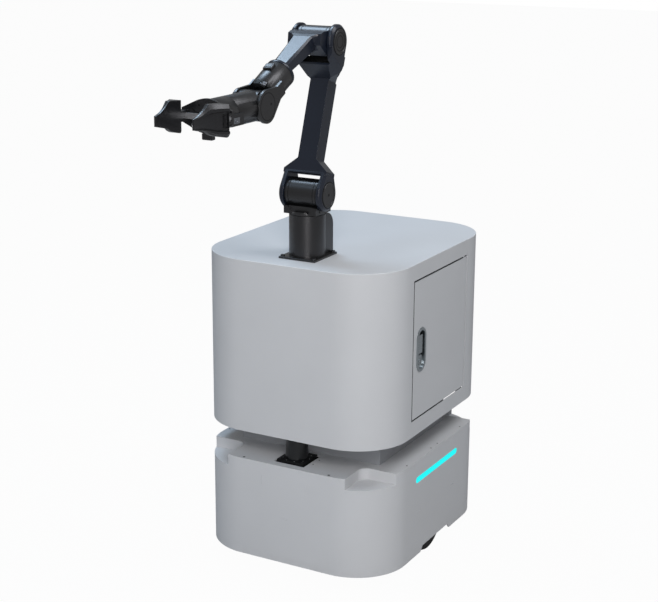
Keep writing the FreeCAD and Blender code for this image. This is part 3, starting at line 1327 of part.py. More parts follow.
def finger(side):
    """A finger: a flat inner face, a flared outer face and a carriage that clasps the rail."""
    inner = JAW_OPEN
    rear = FINGER_REAR
    tip = FINGER_TIP
    high = FINGER_REAR_HALF
    top = FINGER_TIP_TOP
    low = FINGER_TIP_LOW
    flank = [
        Part.LineSegment(Vector(0, 4 - high, rear), Vector(0, high, rear)).toShape(),
        Part.LineSegment(Vector(0, high, rear), Vector(0, high + 2.4, rear + 34)).toShape(),
        Part.Arc(
            Vector(0, high + 2.4, rear + 34), Vector(0, 18.0, rear + 50), Vector(0, top, tip)
        ).toShape(),
        Part.LineSegment(Vector(0, top, tip), Vector(0, low, tip)).toShape(),
        Part.Arc(
            Vector(0, low, tip), Vector(0, -11.5, rear + 56), Vector(0, -15.2, rear + 39)
        ).toShape(),
        Part.LineSegment(Vector(0, -15.2, rear + 39), Vector(0, -20.4, rear + 31)).toShape(),
        Part.Arc(
            Vector(0, -20.4, rear + 31), Vector(0, -25.2, rear + 14), Vector(0, -high, rear + 4)
        ).toShape(),
        Part.Arc(
            Vector(0, -high, rear + 4), Vector(0, -high + 1.2, rear + 1.2), Vector(0, 4 - high, rear)
        ).toShape(),
    ]
    blade = Part.Face(Part.Wire(flank)).extrude(Vector(60, 0, 0))
    plan = [
        Part.LineSegment(Vector(inner, -60, tip), Vector(inner, -60, rear)).toShape(),
        Part.LineSegment(Vector(inner, -60, rear), Vector(inner + FINGER_REAR_THICK, -60, rear)).toShape(),
        Part.Arc(
            Vector(inner + FINGER_REAR_THICK, -60, rear),
            Vector(inner + 8.5, -60, rear + 30),
            Vector(inner + FINGER_TIP_THICK, -60, tip),
        ).toShape(),
        Part.LineSegment(Vector(inner + FINGER_TIP_THICK, -60, tip), Vector(inner, -60, tip)).toShape(),
    ]
    wedge = Part.Face(Part.Wire(plan)).extrude(Vector(0, 120, 0))
    rail_front = PLATE_AT + GRIP_PLATE + 1.6 + RAIL_DEPTH
    half = CARRIAGE_HALF_HEIGHT
    carriage = box(
        Vector(inner, -half, rail_front - RAIL_DEPTH + 0.6), Vector(inner + CARRIAGE, half, rear + 1)
    )
    c = SLIDE_CLEARANCE
    groove = box(
        Vector(inner - 1, -RAIL_HALF_HEIGHT - c, rail_front - RAIL_DEPTH + 1.5 - c),
        Vector(inner + CARRIAGE + 1, RAIL_HALF_HEIGHT + c, rail_front + c),
    )
    throat = box(
        Vector(inner - 1, -2.2 - c, rail_front - RAIL_DEPTH - 2), Vector(inner + CARRIAGE + 1, 2.2 + c, rail_front)
    )
    pocket = polygon([
        Vector(FINGER_POCKET, -12.3, rear + 2), Vector(FINGER_POCKET, 11.4, rear + 2),
        Vector(FINGER_POCKET, 11.4, rear + 40), Vector(FINGER_POCKET, -4.2, rear + 35),
    ]).extrude(Vector(20, 0, 0))
    pegs = []
    for up, forward in ((8.3, 20), (7.2, 8), (-3.6, 20), (-5.0, 8)):
        pegs.append(rod(1.6, Vector(FINGER_POCKET - 5, up, rear + forward), 12, X_AXIS))
    jaw = fused([blade.common(wedge), carriage]).cut([groove, throat, pocket] + pegs)
    if side < 0:
        jaw = jaw.mirror(Vector(), X_AXIS)
    return in_hand(jaw)


def tool_camera():
    """Small sensor block under the front plate."""
    z = PLATE_AT + GRIP_PLATE - UNDER_BLOCK.z
    low = -GRIP_HALF_HEIGHT - UNDER_BLOCK.y
    block = Part.makeBox(UNDER_BLOCK.x, UNDER_BLOCK.y, UNDER_BLOCK.z, Vector(-UNDER_BLOCK.x / 2, low, z))
    edges = [e for e in block.Edges if e.BoundBox.YMax < low + 0.1]
    return in_hand(block.makeFillet(2.0, edges))


def write(name, shape):
    """Writes one node's STEP file."""
    shape.exportStep(os.path.join("parts", name + ".step"))


def main():
    """Builds every node."""
    os.makedirs("parts", exist_ok=True)
    write("chassis_plate", chassis_plate())
    write("base_shell", base_shell())
    write("deck_front", deck_front())
    write("deck_rear", deck_rear())
    write("light_bar_left", light_bar(-1))
    write("light_bar_right", light_bar(1))
    write("scanner_tray", scanner_tray())
    write("scanner_base", scanner_base())
    write("scanner_head", scanner_head())
    for name, side in (("left", -1), ("right", 1)):
        write("wheel_bracket_" + name, wheel_bracket(side))
        write("drive_hub_" + name, drive_hub(side))
        write("drive_tyre_" + name, drive_tyre(side))
    write("caster_mounts", caster_mounts())
    for name, at in CASTER_PLACES.items():
        write("caster_fork_" + name, caster_fork(at))
        write("caster_wheel_" + name, caster_wheel(at))
    write("battery_pack", battery_pack())
    write("drive_controller", drive_controller())
    write("button_collar", button_collar())
    write("power_button", power_button())
    write("charge_contacts", charge_contacts())
    write("neck_frame", neck_frame())
    write("rear_cable_cover", rear_cable_cover())
    write("cabinet_shell", cabinet_shell())
    write("cabinet_frame", cabinet_frame())
    write("main_computer", main_computer())
    write("arm_supply", arm_supply())
    write("roof_stiffener", roof_stiffener())
    write("door_panel", door_panel())
    write("hinge_pins", hinge_pins())
    write("hinge_brackets", hinge_brackets())
    write("handle_bezel", handle_bezel())
    write("handle_lever", handle_lever())
    write("door_lock", door_lock())
    write("arm_foot", arm_foot())
    write("arm_column", arm_column())
    write("arm_turret", arm_turret())
    write("shoulder_motor", joint_motor(SHOULDER))
    write("upper_arm", upper_arm())
    write("shoulder_caps", fork_caps(0, 0))
    write("elbow_caps", fork_caps(ELBOW_ALONG, ELBOW_ACROSS))
    write("elbow_motor", joint_motor(ELBOW))
    write("forearm_shroud", forearm_shroud())
    write("roll_housing", roll_housing())
    write("wrist_housing", wrist_housing())
    write("gripper_base", gripper_base())
    write("gripper_plate", gripper_plate())
    write("gripper_rail", gripper_rail())
    write("finger_left", finger(-1))
    write("finger_right", finger(1))
    write("tool_camera", tool_camera())


main()
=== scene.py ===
"""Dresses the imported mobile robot: finishes for its CAD nodes, its small fittings, and a plain studio.

Lengths are metres in the frame of the CAD model: the zero point is on the floor under the middle
of the base, +Z is up, the robot drives towards -Y and its cabinet door is on the +X side.
"""
import logging
import math
from collections.abc import Iterable, Mapping, Sequence
from dataclasses import dataclass, field
from enum import Enum
from typing import Union

import bmesh
import bpy
from mathutils import Matrix, Vector


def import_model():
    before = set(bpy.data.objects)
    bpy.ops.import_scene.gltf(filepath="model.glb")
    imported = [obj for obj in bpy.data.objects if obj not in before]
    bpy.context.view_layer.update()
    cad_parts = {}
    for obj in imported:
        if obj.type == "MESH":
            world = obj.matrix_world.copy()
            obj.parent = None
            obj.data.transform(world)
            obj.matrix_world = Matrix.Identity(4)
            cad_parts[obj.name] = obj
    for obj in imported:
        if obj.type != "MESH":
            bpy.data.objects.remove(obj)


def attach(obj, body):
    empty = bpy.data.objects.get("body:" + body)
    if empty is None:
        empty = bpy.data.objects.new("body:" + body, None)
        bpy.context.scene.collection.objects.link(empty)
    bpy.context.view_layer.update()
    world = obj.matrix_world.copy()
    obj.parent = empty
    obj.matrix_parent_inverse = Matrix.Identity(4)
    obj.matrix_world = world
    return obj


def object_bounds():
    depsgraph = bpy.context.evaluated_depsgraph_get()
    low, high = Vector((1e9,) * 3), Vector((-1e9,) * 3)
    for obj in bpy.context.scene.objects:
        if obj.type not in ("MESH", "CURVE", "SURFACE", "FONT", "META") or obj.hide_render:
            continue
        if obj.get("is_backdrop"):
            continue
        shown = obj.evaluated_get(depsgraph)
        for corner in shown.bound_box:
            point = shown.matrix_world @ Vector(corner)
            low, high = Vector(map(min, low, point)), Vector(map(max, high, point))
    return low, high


LOG = logging.getLogger("robot")
# how far rings and plugs reach into the surface that they sit on
SUNK = 0.0003
X_AXIS = Vector((1.0, 0.0, 0.0))
Y_AXIS = Vector((0.0, 1.0, 0.0))
Z_AXIS = Vector((0.0, 0.0, 1.0))
WHITE = (1.0, 1.0, 1.0)
Colour = tuple[float, float, float]
Point = tuple[float, float, float]
Flat = tuple[float, float]
Key = Union[str, int]


def srgb(red: int, green: int, blue: int) -> Colour:
    """Turns a screen colour into the linear colour that a shader takes.

    Args:
        red: Red from 0 to 255.
        green: Green from 0 to 255.
        blue: Blue from 0 to 255.

    Returns:
        The linear colour.
    """
    parts = [v / 255 for v in (red, green, blue)]
    linear = [v / 12.92 if v <= 0.04045 else ((v + 0.055) / 1.055) ** 2.4 for v in parts]
    return linear[0], linear[1], linear[2]


def dimmed(colour: Colour, share: float) -> Colour:
    """A colour at a share of its brightness."""
    return colour[0] * share, colour[1] * share, colour[2] * share


class Term:
    """A shader output that takes part in Python arithmetic."""

    def __init__(self, graph: "Graph", socket: bpy.types.NodeSocket) -> None:
        """Keeps the graph and the output socket that the term stands for."""
        self.graph = graph
        self.socket = socket

    def __add__(self, other: "Value") -> "Term":
        """The sum of two values."""
        return self.graph.maths("ADD", self, other)

    __radd__ = __add__

    def __mul__(self, other: "Value") -> "Term":
        """The product of two values."""
        return self.graph.maths("MULTIPLY", self, other)

    __rmul__ = __mul__

    def __sub__(self, other: "Value") -> "Term":
        """The difference of two values."""
        return self.graph.maths("SUBTRACT", self, other)

    def __rsub__(self, other: "Value") -> "Term":
        """The difference of two values, the other way round."""
        return self.graph.maths("SUBTRACT", other, self)

    def rising(self, low: float, high: float) -> "Term":
        """A smooth step from 0 at low to 1 at high."""
        sockets = {"Value": self, "From Min": low, "From Max": high}
        return self.graph.term("ShaderNodeMapRange", sockets, "Result", interpolation_type="SMOOTHSTEP")


Value = Union[Term, float, Sequence[float]]


class Graph:
    """The node tree of one material."""

    def __init__(self, name: str) -> None:
        """Starts an empty node tree.

        Args:
            name: The material's name.
        """
        self.material = bpy.data.materials.new(name)
        self.material.use_nodes = True
        self.tree = self.material.node_tree
        self.tree.nodes.clear()

    @classmethod
    def of(cls, tree: bpy.types.NodeTree) -> "Graph":
        """A graph on a tree that stands already, emptied.

        Args:
            tree: The node tree.

        Returns:
            The graph, which has no material of its own.
        """
        graph = cls.__new__(cls)
        graph.tree = tree
        graph.tree.nodes.clear()
        return graph

    def node(self, kind: str, sockets: Mapping[Key, Value], **settings: object) -> bpy.types.Node:
        """Makes a node.

        Args:
            kind: The node's type.
            sockets: Values or links of its inputs, by name or number.
            **settings: Its own settings, and a ramp's stops as (place, colour) pairs.

        Returns:
            The node.
        """
        made = self.tree.nodes.new(kind)
        stops = settings.pop("stops", None)
        for name, value in settings.items():
            setattr(made, name, value)
        if stops is not None:
            ramp = made.color_ramp.elements
            while len(ramp) < len(stops):
                ramp.new(0.5)
            for element, (place, colour) in zip(ramp, stops):
                element.position = place
                element.color = (*colour, 1.0)
        for name, value in sockets.items():
            self.feed(made.inputs[name], value)
        return made

    def feed(self, socket: bpy.types.NodeSocket, value: Value) -> None:
        """Links a term to an input, or sets the input's own value.

        Args:
            socket: The input.
            value: A term, a number, a colour or a vector.
        """
        if isinstance(value, Term):
            self.tree.links.new(value.socket, socket)
        elif isinstance(value, (int, float)):
            socket.default_value = value
        elif socket.type == "RGBA":
            socket.default_value = (*value, 1.0)
        else:
            socket.default_value = tuple(value)

    def term(
        self, kind: str, sockets: Mapping[Key, Value], output: Key = 0, **settings: object
    ) -> Term:
        """Makes a node and returns one of its outputs as a term."""
        return Term(self, self.node(kind, sockets, **settings).outputs[output])

    def maths(self, operation: str, first: Value, second: Value) -> Term:
        """A Math node on two values."""
        return self.term("ShaderNodeMath", {0: first, 1: second}, operation=operation)

    def place(self) -> Term:
        """Object coordinates, which are metres in the CAD frame."""
        return self.term("ShaderNodeTexCoord", {}, "Object")

    def height(self) -> Term:
        """Height over the floor."""
        return self.term("ShaderNodeSeparateXYZ", {0: self.place()}, "Z")

    def stretched(self, scale: Point) -> Term:
        """Object coordinates with a scale for each axis."""
        return self.term("ShaderNodeMapping", {"Vector": self.place(), "Scale": scale})

    def noise(self, scale: float, detail: float = 2.0, at: Union[Term, None] = None) -> Term:
        """Noise from 0 to 1.

        Args:
            scale: Waves to the metre.
            detail: Octaves.
            at: Where it is read, or None for object coordinates.

        Returns:
            The noise.
        """
        sockets = {"Vector": at or self.place(), "Scale": scale, "Detail": detail}
        return self.term("ShaderNodeTexNoise", sockets, "Fac")

    def mix(self, share: Value, first: Union[Term, Colour], second: Union[Term, Colour]) -> Term:
        """A colour between two colours."""
        sockets = {0: share, 6: first, 7: second}
        return self.term("ShaderNodeMix", sockets, 2, data_type="RGBA")

    def bump(self, height: Term, depth: float) -> Term:
        """A surface normal bent by a height from 0 to 1 over a depth in metres."""
        return self.term("ShaderNodeBump", {"Distance": depth, "Height": height}, "Normal")

    def surface(self, sockets: Mapping[str, Value]) -> bpy.types.Material:
        """Ends the tree in one principled shader.

        Args:
            sockets: What its inputs get.

        Returns:
            The finished material.
        """
        shader = self.node("ShaderNodeBsdfPrincipled", sockets)
        self.node("ShaderNodeOutputMaterial", {"Surface": Term(self, shader.outputs[0])})
        return self.material


@dataclass(frozen=True)
class Finish:
    """What every finish has: a name, a colour and a roughness."""

    name: str
    colour: Colour
    roughness: float

    def material(self) -> bpy.types.Material:
        """Builds the material.

        Returns:
            The material.
        """
        raise NotImplementedError


@dataclass(frozen=True)
class PowderCoat(Finish):
    """Baked powder coat on sheet metal: faint clouding, orange peel, and dust that thins out upwards."""

    peel: float = 900.0
    peel_depth: float = 0.00004
    clouding: float = 0.05
    dust: Colour = srgb(150, 147, 142)
    dust_top: float = 0.05

    def material(self) -> bpy.types.Material:
        """Builds the material.

        Returns:
            The material.
        """
        graph = Graph(self.name)
        clouds = graph.noise(7.0, 3.0)
        grain = graph.noise(self.peel, 1.0)
        thin, thick = dimmed(self.colour, 1 - self.clouding), dimmed(self.colour, 1 + self.clouding)
        paint = graph.mix(clouds, thin, thick)
        low = 1 - graph.height().rising(0.02, self.dust_top)
        dusty = low * graph.noise(45.0, 4.0).rising(0.35, 0.75) * 0.08
        return graph.surface({
            "Base Color": graph.mix(dusty, paint, self.dust),
            "Roughness": self.roughness + clouds * 0.06 + dusty * 0.3,
            "Specular IOR Level": 0.4,
            "Normal": graph.bump(grain, self.peel_depth),
        })


@dataclass(frozen=True)
class HardCoat(Finish):
    """Dark hard coat on cast aluminium: a fine blasted grain, and a cloudy painted sheen mixed into its
    colour.
    """

    painted_sheen: Colour = srgb(40, 48, 64)
    grain: float = 2600.0
    grain_depth: float = 0.00001
    specular: float = 0.45
    tint: Colour = (1.0, 0.97, 1.0)

    def material(self) -> bpy.types.Material:
        """Builds the material.

        Returns:
            The material.
        """
        graph = Graph(self.name)
        grain = graph.noise(self.grain, 1.0)
        clouds = graph.noise(22.0, 3.0)
        speck = grain.rising(0.6, 0.8) * 0.25
        return graph.surface({
            # painted sheen: lighter specks and clouds in the base colour stand in for the coat's
            # reflections
            "Base Color": graph.mix(speck + clouds * 0.12, self.colour, self.painted_sheen),
            "Roughness": self.roughness + clouds * 0.03,
            "Specular IOR Level": self.specular,
            "Specular Tint": self.tint,
            "Normal": graph.bump(grain, self.grain_depth),
        })


@dataclass(frozen=True)
class Moulding(Finish):
    """Moulded plastic with a spark-eroded grain."""

    grain: float = 1500.0
    grain_depth: float = 0.00004
    specular: float = 0.2

    def material(self) -> bpy.types.Material:
        """Builds the material.

        Returns:
            The material.
        """
        graph = Graph(self.name)
        cells = {"Vector": graph.place(), "Scale": self.grain}
        pits = graph.term("ShaderNodeTexVoronoi", cells, "Distance").rising(0.1, 0.7)
        clouds = graph.noise(30.0, 2.0)
        return graph.surface({
            "Base Color": graph.mix(clouds, dimmed(self.colour, 0.85), dimmed(self.colour, 1.2)),
            "Roughness": self.roughness + pits * 0.12,
            "Specular IOR Level": self.specular,
            "Normal": graph.bump(pits, self.grain_depth),
        })


@dataclass(frozen=True)
class Metal(Finish):
    """Bare metal with a drawn grain along one axis."""

    along: Point = (1.0, 1.0, 0.04)
    grain: float = 1800.0
    grain_depth: float = 0.00001
    tarnish: Colour = srgb(120, 118, 115)

    def material(self) -> bpy.types.Material:
        """Builds the material.

        Returns:
            The material.
        """
        graph = Graph(self.name)
        lines = graph.noise(self.grain, 2.0, graph.stretched(self.along))
        spots = graph.noise(28.0, 4.0).rising(0.45, 0.8)
        return graph.surface({
            "Base Color": graph.mix(spots * 0.3, self.colour, self.tarnish),
            "Roughness": self.roughness + lines * 0.12 + spots * 0.08,
            "Metallic": 1.0,
            "Normal": graph.bump(lines, self.grain_depth),
        })


@dataclass(frozen=True)
class Rubber(Finish):
    """Rubber with a dull bloom in patches."""

    bloom: Colour = srgb(74, 72, 69)
    grain: float = 2200.0
    grain_depth: float = 0.00005

    def material(self) -> bpy.types.Material:
        """Builds the material.

        Returns:
            The material.
        """
        graph = Graph(self.name)
        worn = graph.noise(60.0, 4.0)
        grain = graph.noise(self.grain, 1.0)
        return graph.surface({
            "Base Color": graph.mix(worn.rising(0.4, 0.8) * 0.5, self.colour, self.bloom),
            "Roughness": self.roughness - worn * 0.15,
            "Specular IOR Level": 0.3,
            "Normal": graph.bump(grain, self.grain_depth),
        })


@dataclass(frozen=True)
class Diffuser(Finish):
    """Lit acrylic: even light with a faint ripple of the lamps behind it."""

    glow: Colour = (0.0, 0.9, 0.91)
    lamp_pitch: float = 0.012
    strength: float = 1.0

    def material(self) -> bpy.types.Material:
        """Builds the material.

        Returns:
            The material.
        """
        graph = Graph(self.name)
        along = graph.term("ShaderNodeSeparateXYZ", {0: graph.place()}, "Y")
        ripple = graph.maths("SINE", along * (2 * math.pi / self.lamp_pitch), 0.0) * 0.5 + 0.5
        haze = graph.noise(500.0, 1.0)
        return graph.surface({
            "Base Color": self.colour,
            "Specular IOR Level": 0.1,
            "Roughness": self.roughness + haze * 0.1,
            "Emission Color": graph.mix(ripple, dimmed(self.glow, 0.95), self.glow),
            "Emission Strength": self.strength,
        })


@dataclass(frozen=True)
class Window(Finish):
    """Dark infrared window of a scanner: deep gloss with a slight haze."""

    def material(self) -> bpy.types.Material:
        """Builds the material.

        Returns:
            The material.
        """
        graph = Graph(self.name)
        haze = graph.noise(90.0, 3.0)
        return graph.surface({
            "Base Color": graph.mix(haze, self.colour, dimmed(self.colour, 1.8)),
            "Roughness": self.roughness + haze * 0.05,
            "Coat Weight": 0.05 + haze * 0.1,
            "Specular IOR Level": 0.4,
        })


class Slot(Enum):
    """Material slots of the record, each with the finish that stands for it."""

    BODY_PAINT = PowderCoat("body_paint", srgb(207, 208, 211), 0.4)
    # The neck's grey is its own darker paint, darkened further as painted shade under the cabinet's
    # overhang.
    NECK_PAINT_AND_SHADE = PowderCoat("neck_paint", srgb(158, 160, 165), 0.45)
    FRAME_STEEL = Metal("frame_steel", srgb(196, 197, 199), 0.35)
    LIGHT = Diffuser("light", (0.0, 0.1, 0.1), 0.3)
    BLACK_PLASTIC = Moulding("black_plastic", srgb(17, 18, 19), 0.45)
    SCANNER_WINDOW = Window("scanner_window", srgb(9, 10, 12), 0.12)
    CONTROLLER_METAL = Metal("controller_metal", srgb(136, 139, 145), 0.4)
    HUB_METAL = Metal("hub_metal", srgb(158, 160, 164), 0.38)
    TYRE = Rubber("tyre", srgb(30, 30, 31), 0.85)
    CASTER_RUBBER = Rubber("caster_rubber", srgb(52, 52, 54), 0.75)
    BUTTON_METAL = Metal("button_metal", srgb(205, 206, 208), 0.25)
    CONTACT_BRASS = Metal("contact_brass", srgb(214, 178, 110), 0.3, tarnish=srgb(150, 118, 66))
    HANDLE_METAL = Metal("handle_metal", srgb(152, 158, 162), 0.22, grain=900.0)
    ARM_BLACK = HardCoat("arm_black", srgb(20, 26, 37), 0.28)
    ARM_GREY = HardCoat("arm_grey", srgb(13, 14, 15), 0.33, painted_sheen=srgb(24, 26, 29), specular=0.7)
    GRIPPER_BLACK = HardCoat("gripper_black", srgb(18, 19, 21), 0.3, painted_sheen=srgb(34, 35, 38), specular=0.6)
    RAIL_STEEL = Metal("rail_steel", srgb(200, 201, 204), 0.25, along=(0.04, 1.0, 1.0))


class Finishes:
    """Builds each slot's material once."""

    def __init__(self) -> None:
        """Starts with no material built."""
        self.made: dict[Slot, bpy.types.Material] = {}

    def __getitem__(self, slot: Slot) -> bpy.types.Material:
        """The material of a slot, built at its first use.

        Args:
            slot: The slot.

        Returns:
            Its material.
        """
        if slot not in self.made:
            self.made[slot] = slot.value.material()
        return self.made[slot]


FINISHES = Finishes()


def clad(slot: Slot, nodes: Iterable[str]) -> None:
    """Gives CAD nodes the finish of a slot.

    Args:
        slot: The slot.
        nodes: Names of the nodes.
    """
    for name in nodes:
        mesh = bpy.data.objects[name].data
        mesh.materials.clear()
        mesh.materials.append(FINISHES[slot])
        LOG.info("dressed %s as %s", name, slot.value.name)


def standing(origin: Union[Point, Vector], outward: Vector, up: Vector) -> Matrix:
    """A placement whose Z points outward and whose Y points as near to up as it can.

    Args:
        origin: Where its zero point goes.
        outward: Direction of its Z.
        up: Rough direction of its Y.

    Returns:
        The matrix.
    """
    z = outward.normalized()
    x = up.cross(z).normalized()
    y = z.cross(x)
    turn = Matrix((x, y, z)).transposed().to_4x4()
    return Matrix.Translation(origin) @ turn


def broken_edges(node: str, width: float) -> None:
    """Rounds a CAD node's sharp edges with modifiers, which leave its mesh as it is.

    Args:
        node: Name of the node.
        width: Width of the rounding.
    """
    part = bpy.data.objects[node]
    weld = part.modifiers.new("weld", "WELD")
    weld.merge_threshold = 0.000005
    rounding = part.modifiers.new("rounding", "BEVEL")
    rounding.width = width
    rounding.segments = 2
    rounding.limit_method = "ANGLE"
    rounding.angle_limit = 0.5
    rounding.harden_normals = True


class Blank:
    """A mesh in the making, with the workshop operations that the pieces share."""

    def __init__(self) -> None:
        """Starts an empty mesh."""
        self.mesh = bmesh.new()

    def lathe(self, profile: Sequence[Flat], at: Matrix, steps: int = 40) -> "Blank":
        """Spins a profile of (radius, height) points about Z.

        Args:
            profile: The points, from one end to the other.
            at: Where the axis stands.
            steps: Facets round the axis.

        Returns:
            The blank.
        """
        points = [self.mesh.verts.new(at @ Vector((r, 0.0, h))) for r, h in profile]
        lines = [self.mesh.edges.new(pair) for pair in zip(points[:-1], points[1:])]
        axis = at.to_3x3() @ Z_AXIS
        bmesh.ops.spin(
            self.mesh, geom=points + lines, cent=at.translation, axis=axis, angle=2 * math.pi,
            steps=steps, use_merge=True,
        )
        return self

    def slab(self, outline: Sequence[Flat], thickness: float, at: Matrix) -> "Blank":
        """Raises a flat outline by a thickness along its Z.

        Args:
            outline: Its corners, in order.
            thickness: How far it is raised.
            at: Where the outline lies.

        Returns:
            The blank.
        """
        base = self.mesh.faces.new([self.mesh.verts.new(at @ Vector((x, y, 0.0))) for x, y in outline])
        raised = bmesh.ops.extrude_face_region(self.mesh, geom=[base], use_keep_orig=True)
        moved = [v for v in raised["geom"] if isinstance(v, bmesh.types.BMVert)]
        lift = at.to_3x3() @ Vector((0.0, 0.0, thickness))
        bmesh.ops.translate(self.mesh, vec=lift, verts=moved)
        return self

    def loft(self, sections: Sequence[Sequence[Vector]]) -> "Blank":
        """Skins closed sections of the same number of points, with both ends closed.

        Args:
            sections: The sections, from one end to the other.

        Returns:
            The blank.
        """
        rings = [[self.mesh.verts.new(point) for point in section] for section in sections]
        count = len(rings[0])
        for near, far in zip(rings[:-1], rings[1:]):
            for i in range(count):
                j = (i + 1) % count
                self.mesh.faces.new((near[i], near[j], far[j], far[i]))
        self.mesh.faces.new(rings[0])
        self.mesh.faces.new(rings[-1])
        return self

    def screw(self, at: Matrix, radius: float, height: float, socket: float) -> "Blank":
        """A cap screw's head with a hexagon socket.

        Args:
            at: Middle of the underside, with Z out of the surface.
            radius: Radius of the head.
            height: Height of the head.
            socket: Distance from the middle of the socket to its corners.

        Returns:
            The blank.
        """
        edge = radius * 0.12
        levels = (
            (24, radius, 0.0), (24, radius, height - edge), (24, radius - edge, height),
            (6, socket, height), (6, socket, height * 0.4),
        )
        rings = []
        for sides, reach, z in levels:
            level = at @ Matrix.Translation((0.0, 0.0, z))
            made = bmesh.ops.create_circle(self.mesh, segments=sides, radius=reach, matrix=level)
            rings.append(made["verts"])
        for lower, upper in zip(rings[:-1], rings[1:]):
            loops = {e for v in lower + upper for e in v.link_edges if self._within(e, lower, upper)}
            bmesh.ops.bridge_loops(self.mesh, edges=list(loops))
        for end in (rings[0], rings[-1]):
            self.mesh.faces.new(end)
        return self

    @staticmethod
    def _within(edge: bmesh.types.BMEdge, lower: list, upper: list) -> bool:
        """Whether an edge lies on one of two rings."""
        return all(v in lower for v in edge.verts) or all(v in upper for v in edge.verts)

    def block(self, size: Point, at: Matrix) -> "Blank":
        """A block with its middle on a placement."""
        bmesh.ops.create_cube(self.mesh, size=1.0, matrix=at @ Matrix.Diagonal((*size, 1.0)))
        return self

    def bevel(self, width: float, segments: int = 2, angle: float = 0.6) -> "Blank":
        """Rounds the edges that turn by more than an angle.

        Args:
            width: Width of the rounding.
            segments: Facets across it.
            angle: The angle in radians.

        Returns:
            The blank.
        """
        self.mesh.normal_update()
        sharp = [e for e in self.mesh.edges if len(e.link_faces) == 2 and e.calc_face_angle(0.0) > angle]
        bmesh.ops.bevel(
            self.mesh, geom=sharp, offset=width, affect="EDGES", segments=segments, profile=0.5,
            material=-1, clamp_overlap=True,
        )
        return self

    def piece(self, name: str, body: str, slot: Slot, smooth: float = 0.6) -> bpy.types.Object:
        """Turns the blank into a piece of the scene.

        Args:
            name: The piece's name.
            body: The CAD body that it rides on.
            slot: The slot of its finish.
            smooth: Edges that turn by less than this angle are shaded smooth.

        Returns:
            The new object.
        """
        bmesh.ops.remove_doubles(self.mesh, verts=self.mesh.verts[:], dist=0.000002)
        bmesh.ops.recalc_face_normals(self.mesh, faces=self.mesh.faces[:])
        data = bpy.data.meshes.new(name)
        self.mesh.to_mesh(data)
        self.mesh.free()
        data.shade_smooth()
        data.set_sharp_from_angle(angle=smooth)
        data.materials.append(FINISHES[slot])
        made = bpy.data.objects.new(name, data)
        bpy.context.scene.collection.objects.link(made)
        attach(made, body)
        LOG.info("built %s on %s: %d faces", name, body, len(data.polygons))
        return made


def between(stops: Sequence[Flat], at: float) -> float:
    """Reads a run of (place, value) stops, with straight lines between them.

    Args:
        stops: The stops, in order.
        at: The place that is read.

    Returns:
        The value there.
    """
    for (left, low), (right, high) in zip(stops[:-1], stops[1:]):
        if at <= right:
            return low + (high - low) * max(0.0, (at - left) / (right - left))
    return stops[-1][1]


def slot_outline(length: float, width: float, steps: int = 10) -> list[Flat]:
    """The outline of a slot with round ends.

    Args:
        length: Length over the ends, along X.
        width: Width, along Y.
        steps: Facets of each end.

    Returns:
        Its corners, anticlockwise.
    """
    radius = width / 2
    run = length / 2 - radius
    corners = []
    for end, turn in ((1, -math.pi / 2), (-1, math.pi / 2)):
        for step in range(steps + 1):
            angle = turn + math.pi * step / steps
            corners.append((end * run + radius * math.cos(angle), radius * math.sin(angle)))
    return corners


def ring(inner: float, outer: float, height: float, edge: float = 0.00015) -> list[Flat]:
    """The profile of a flat ring with broken edges, for Blank.lathe.

    Args:
        inner: Inner radius.
        outer: Outer radius.
        height: Height over the surface.
        edge: Width of the broken edges.

    Returns:
        Closed run of (radius, height) points.
    """
    return [
        (inner, -SUNK), (inner, height - edge), (inner + edge, height), (outer - edge, height),
        (outer, height - edge), (outer, -SUNK), (inner, -SUNK),
    ]


def line(inner: float, width: float) -> list[Flat]:
    """The profile of a joint line that hardly stands proud."""
    return ring(inner, inner + width, 0.00012, 0.00005)


def plug(radius: float, height: float = 0.0002) -> list[Flat]:
    """The profile of a round plug with a sunk middle, for Blank.lathe.

    Args:
        radius: Its radius.
        height: Height of its rim over the surface.

    Returns:
        Closed run of (radius, height) points.
    """
    middle = 0.00005
    return [
        (0.0, middle), (radius * 0.6, middle), (radius * 0.7, height), (radius * 0.95, height),
        (radius, height * 0.6), (radius, -SUNK), (0.0, -SUNK),
    ]


@dataclass
class Base:
    """Wheeled base: shell, deck, light bars, chassis and electronics."""

    deck: float = 0.2266
    screw_sink: float = 0.0001
    screw_height: float = 0.0004
    large_radius: float = 0.0027
    large_screws: tuple[Flat, ...] = ((-0.0952, -0.2432), (0.0952, -0.2432))
    small_radius: float = 0.0016
    small_screws: tuple[Flat, ...] = (
        (0.0420, -0.2098), (0.0424, -0.1855), (-0.2033, -0.1258), (0.2033, -0.1258), (-0.2038, -0.0166),
        (0.2038, -0.0166), (-0.2038, 0.0134), (0.2038, 0.0134), (-0.2033, 0.1243), (0.2033, 0.1243),
    )

    def build(self) -> None:
        """Dresses the base and adds the screws of its deck."""
        clad(Slot.BODY_PAINT, ("base_shell", "deck_front", "deck_rear"))
        clad(Slot.FRAME_STEEL, ("chassis_plate", "wheel_bracket_left", "wheel_bracket_right"))
        clad(Slot.FRAME_STEEL, ("caster_mounts",))
        clad(Slot.LIGHT, ("light_bar_left", "light_bar_right"))
        clad(Slot.BLACK_PLASTIC, ("battery_pack", "button_collar"))
        clad(Slot.CONTROLLER_METAL, ("drive_controller",))
        clad(Slot.BUTTON_METAL, ("power_button",))
        clad(Slot.CONTACT_BRASS, ("charge_contacts",))
        self.deck_screws()

    def deck_screws(self) -> None:
        """Flat screws that hold the deck panels down."""
        blank = Blank()
        sizes = ((self.large_screws, self.large_radius), (self.small_screws, self.small_radius))
        for places, radius in sizes:
            for x, y in places:
                at = standing((x, y, self.deck - self.screw_sink), Z_AXIS, Y_AXIS)
                blank.screw(at, radius, self.screw_height, radius * 0.45)
        blank.piece("deck_screws", "robot", Slot.GRIPPER_BLACK)


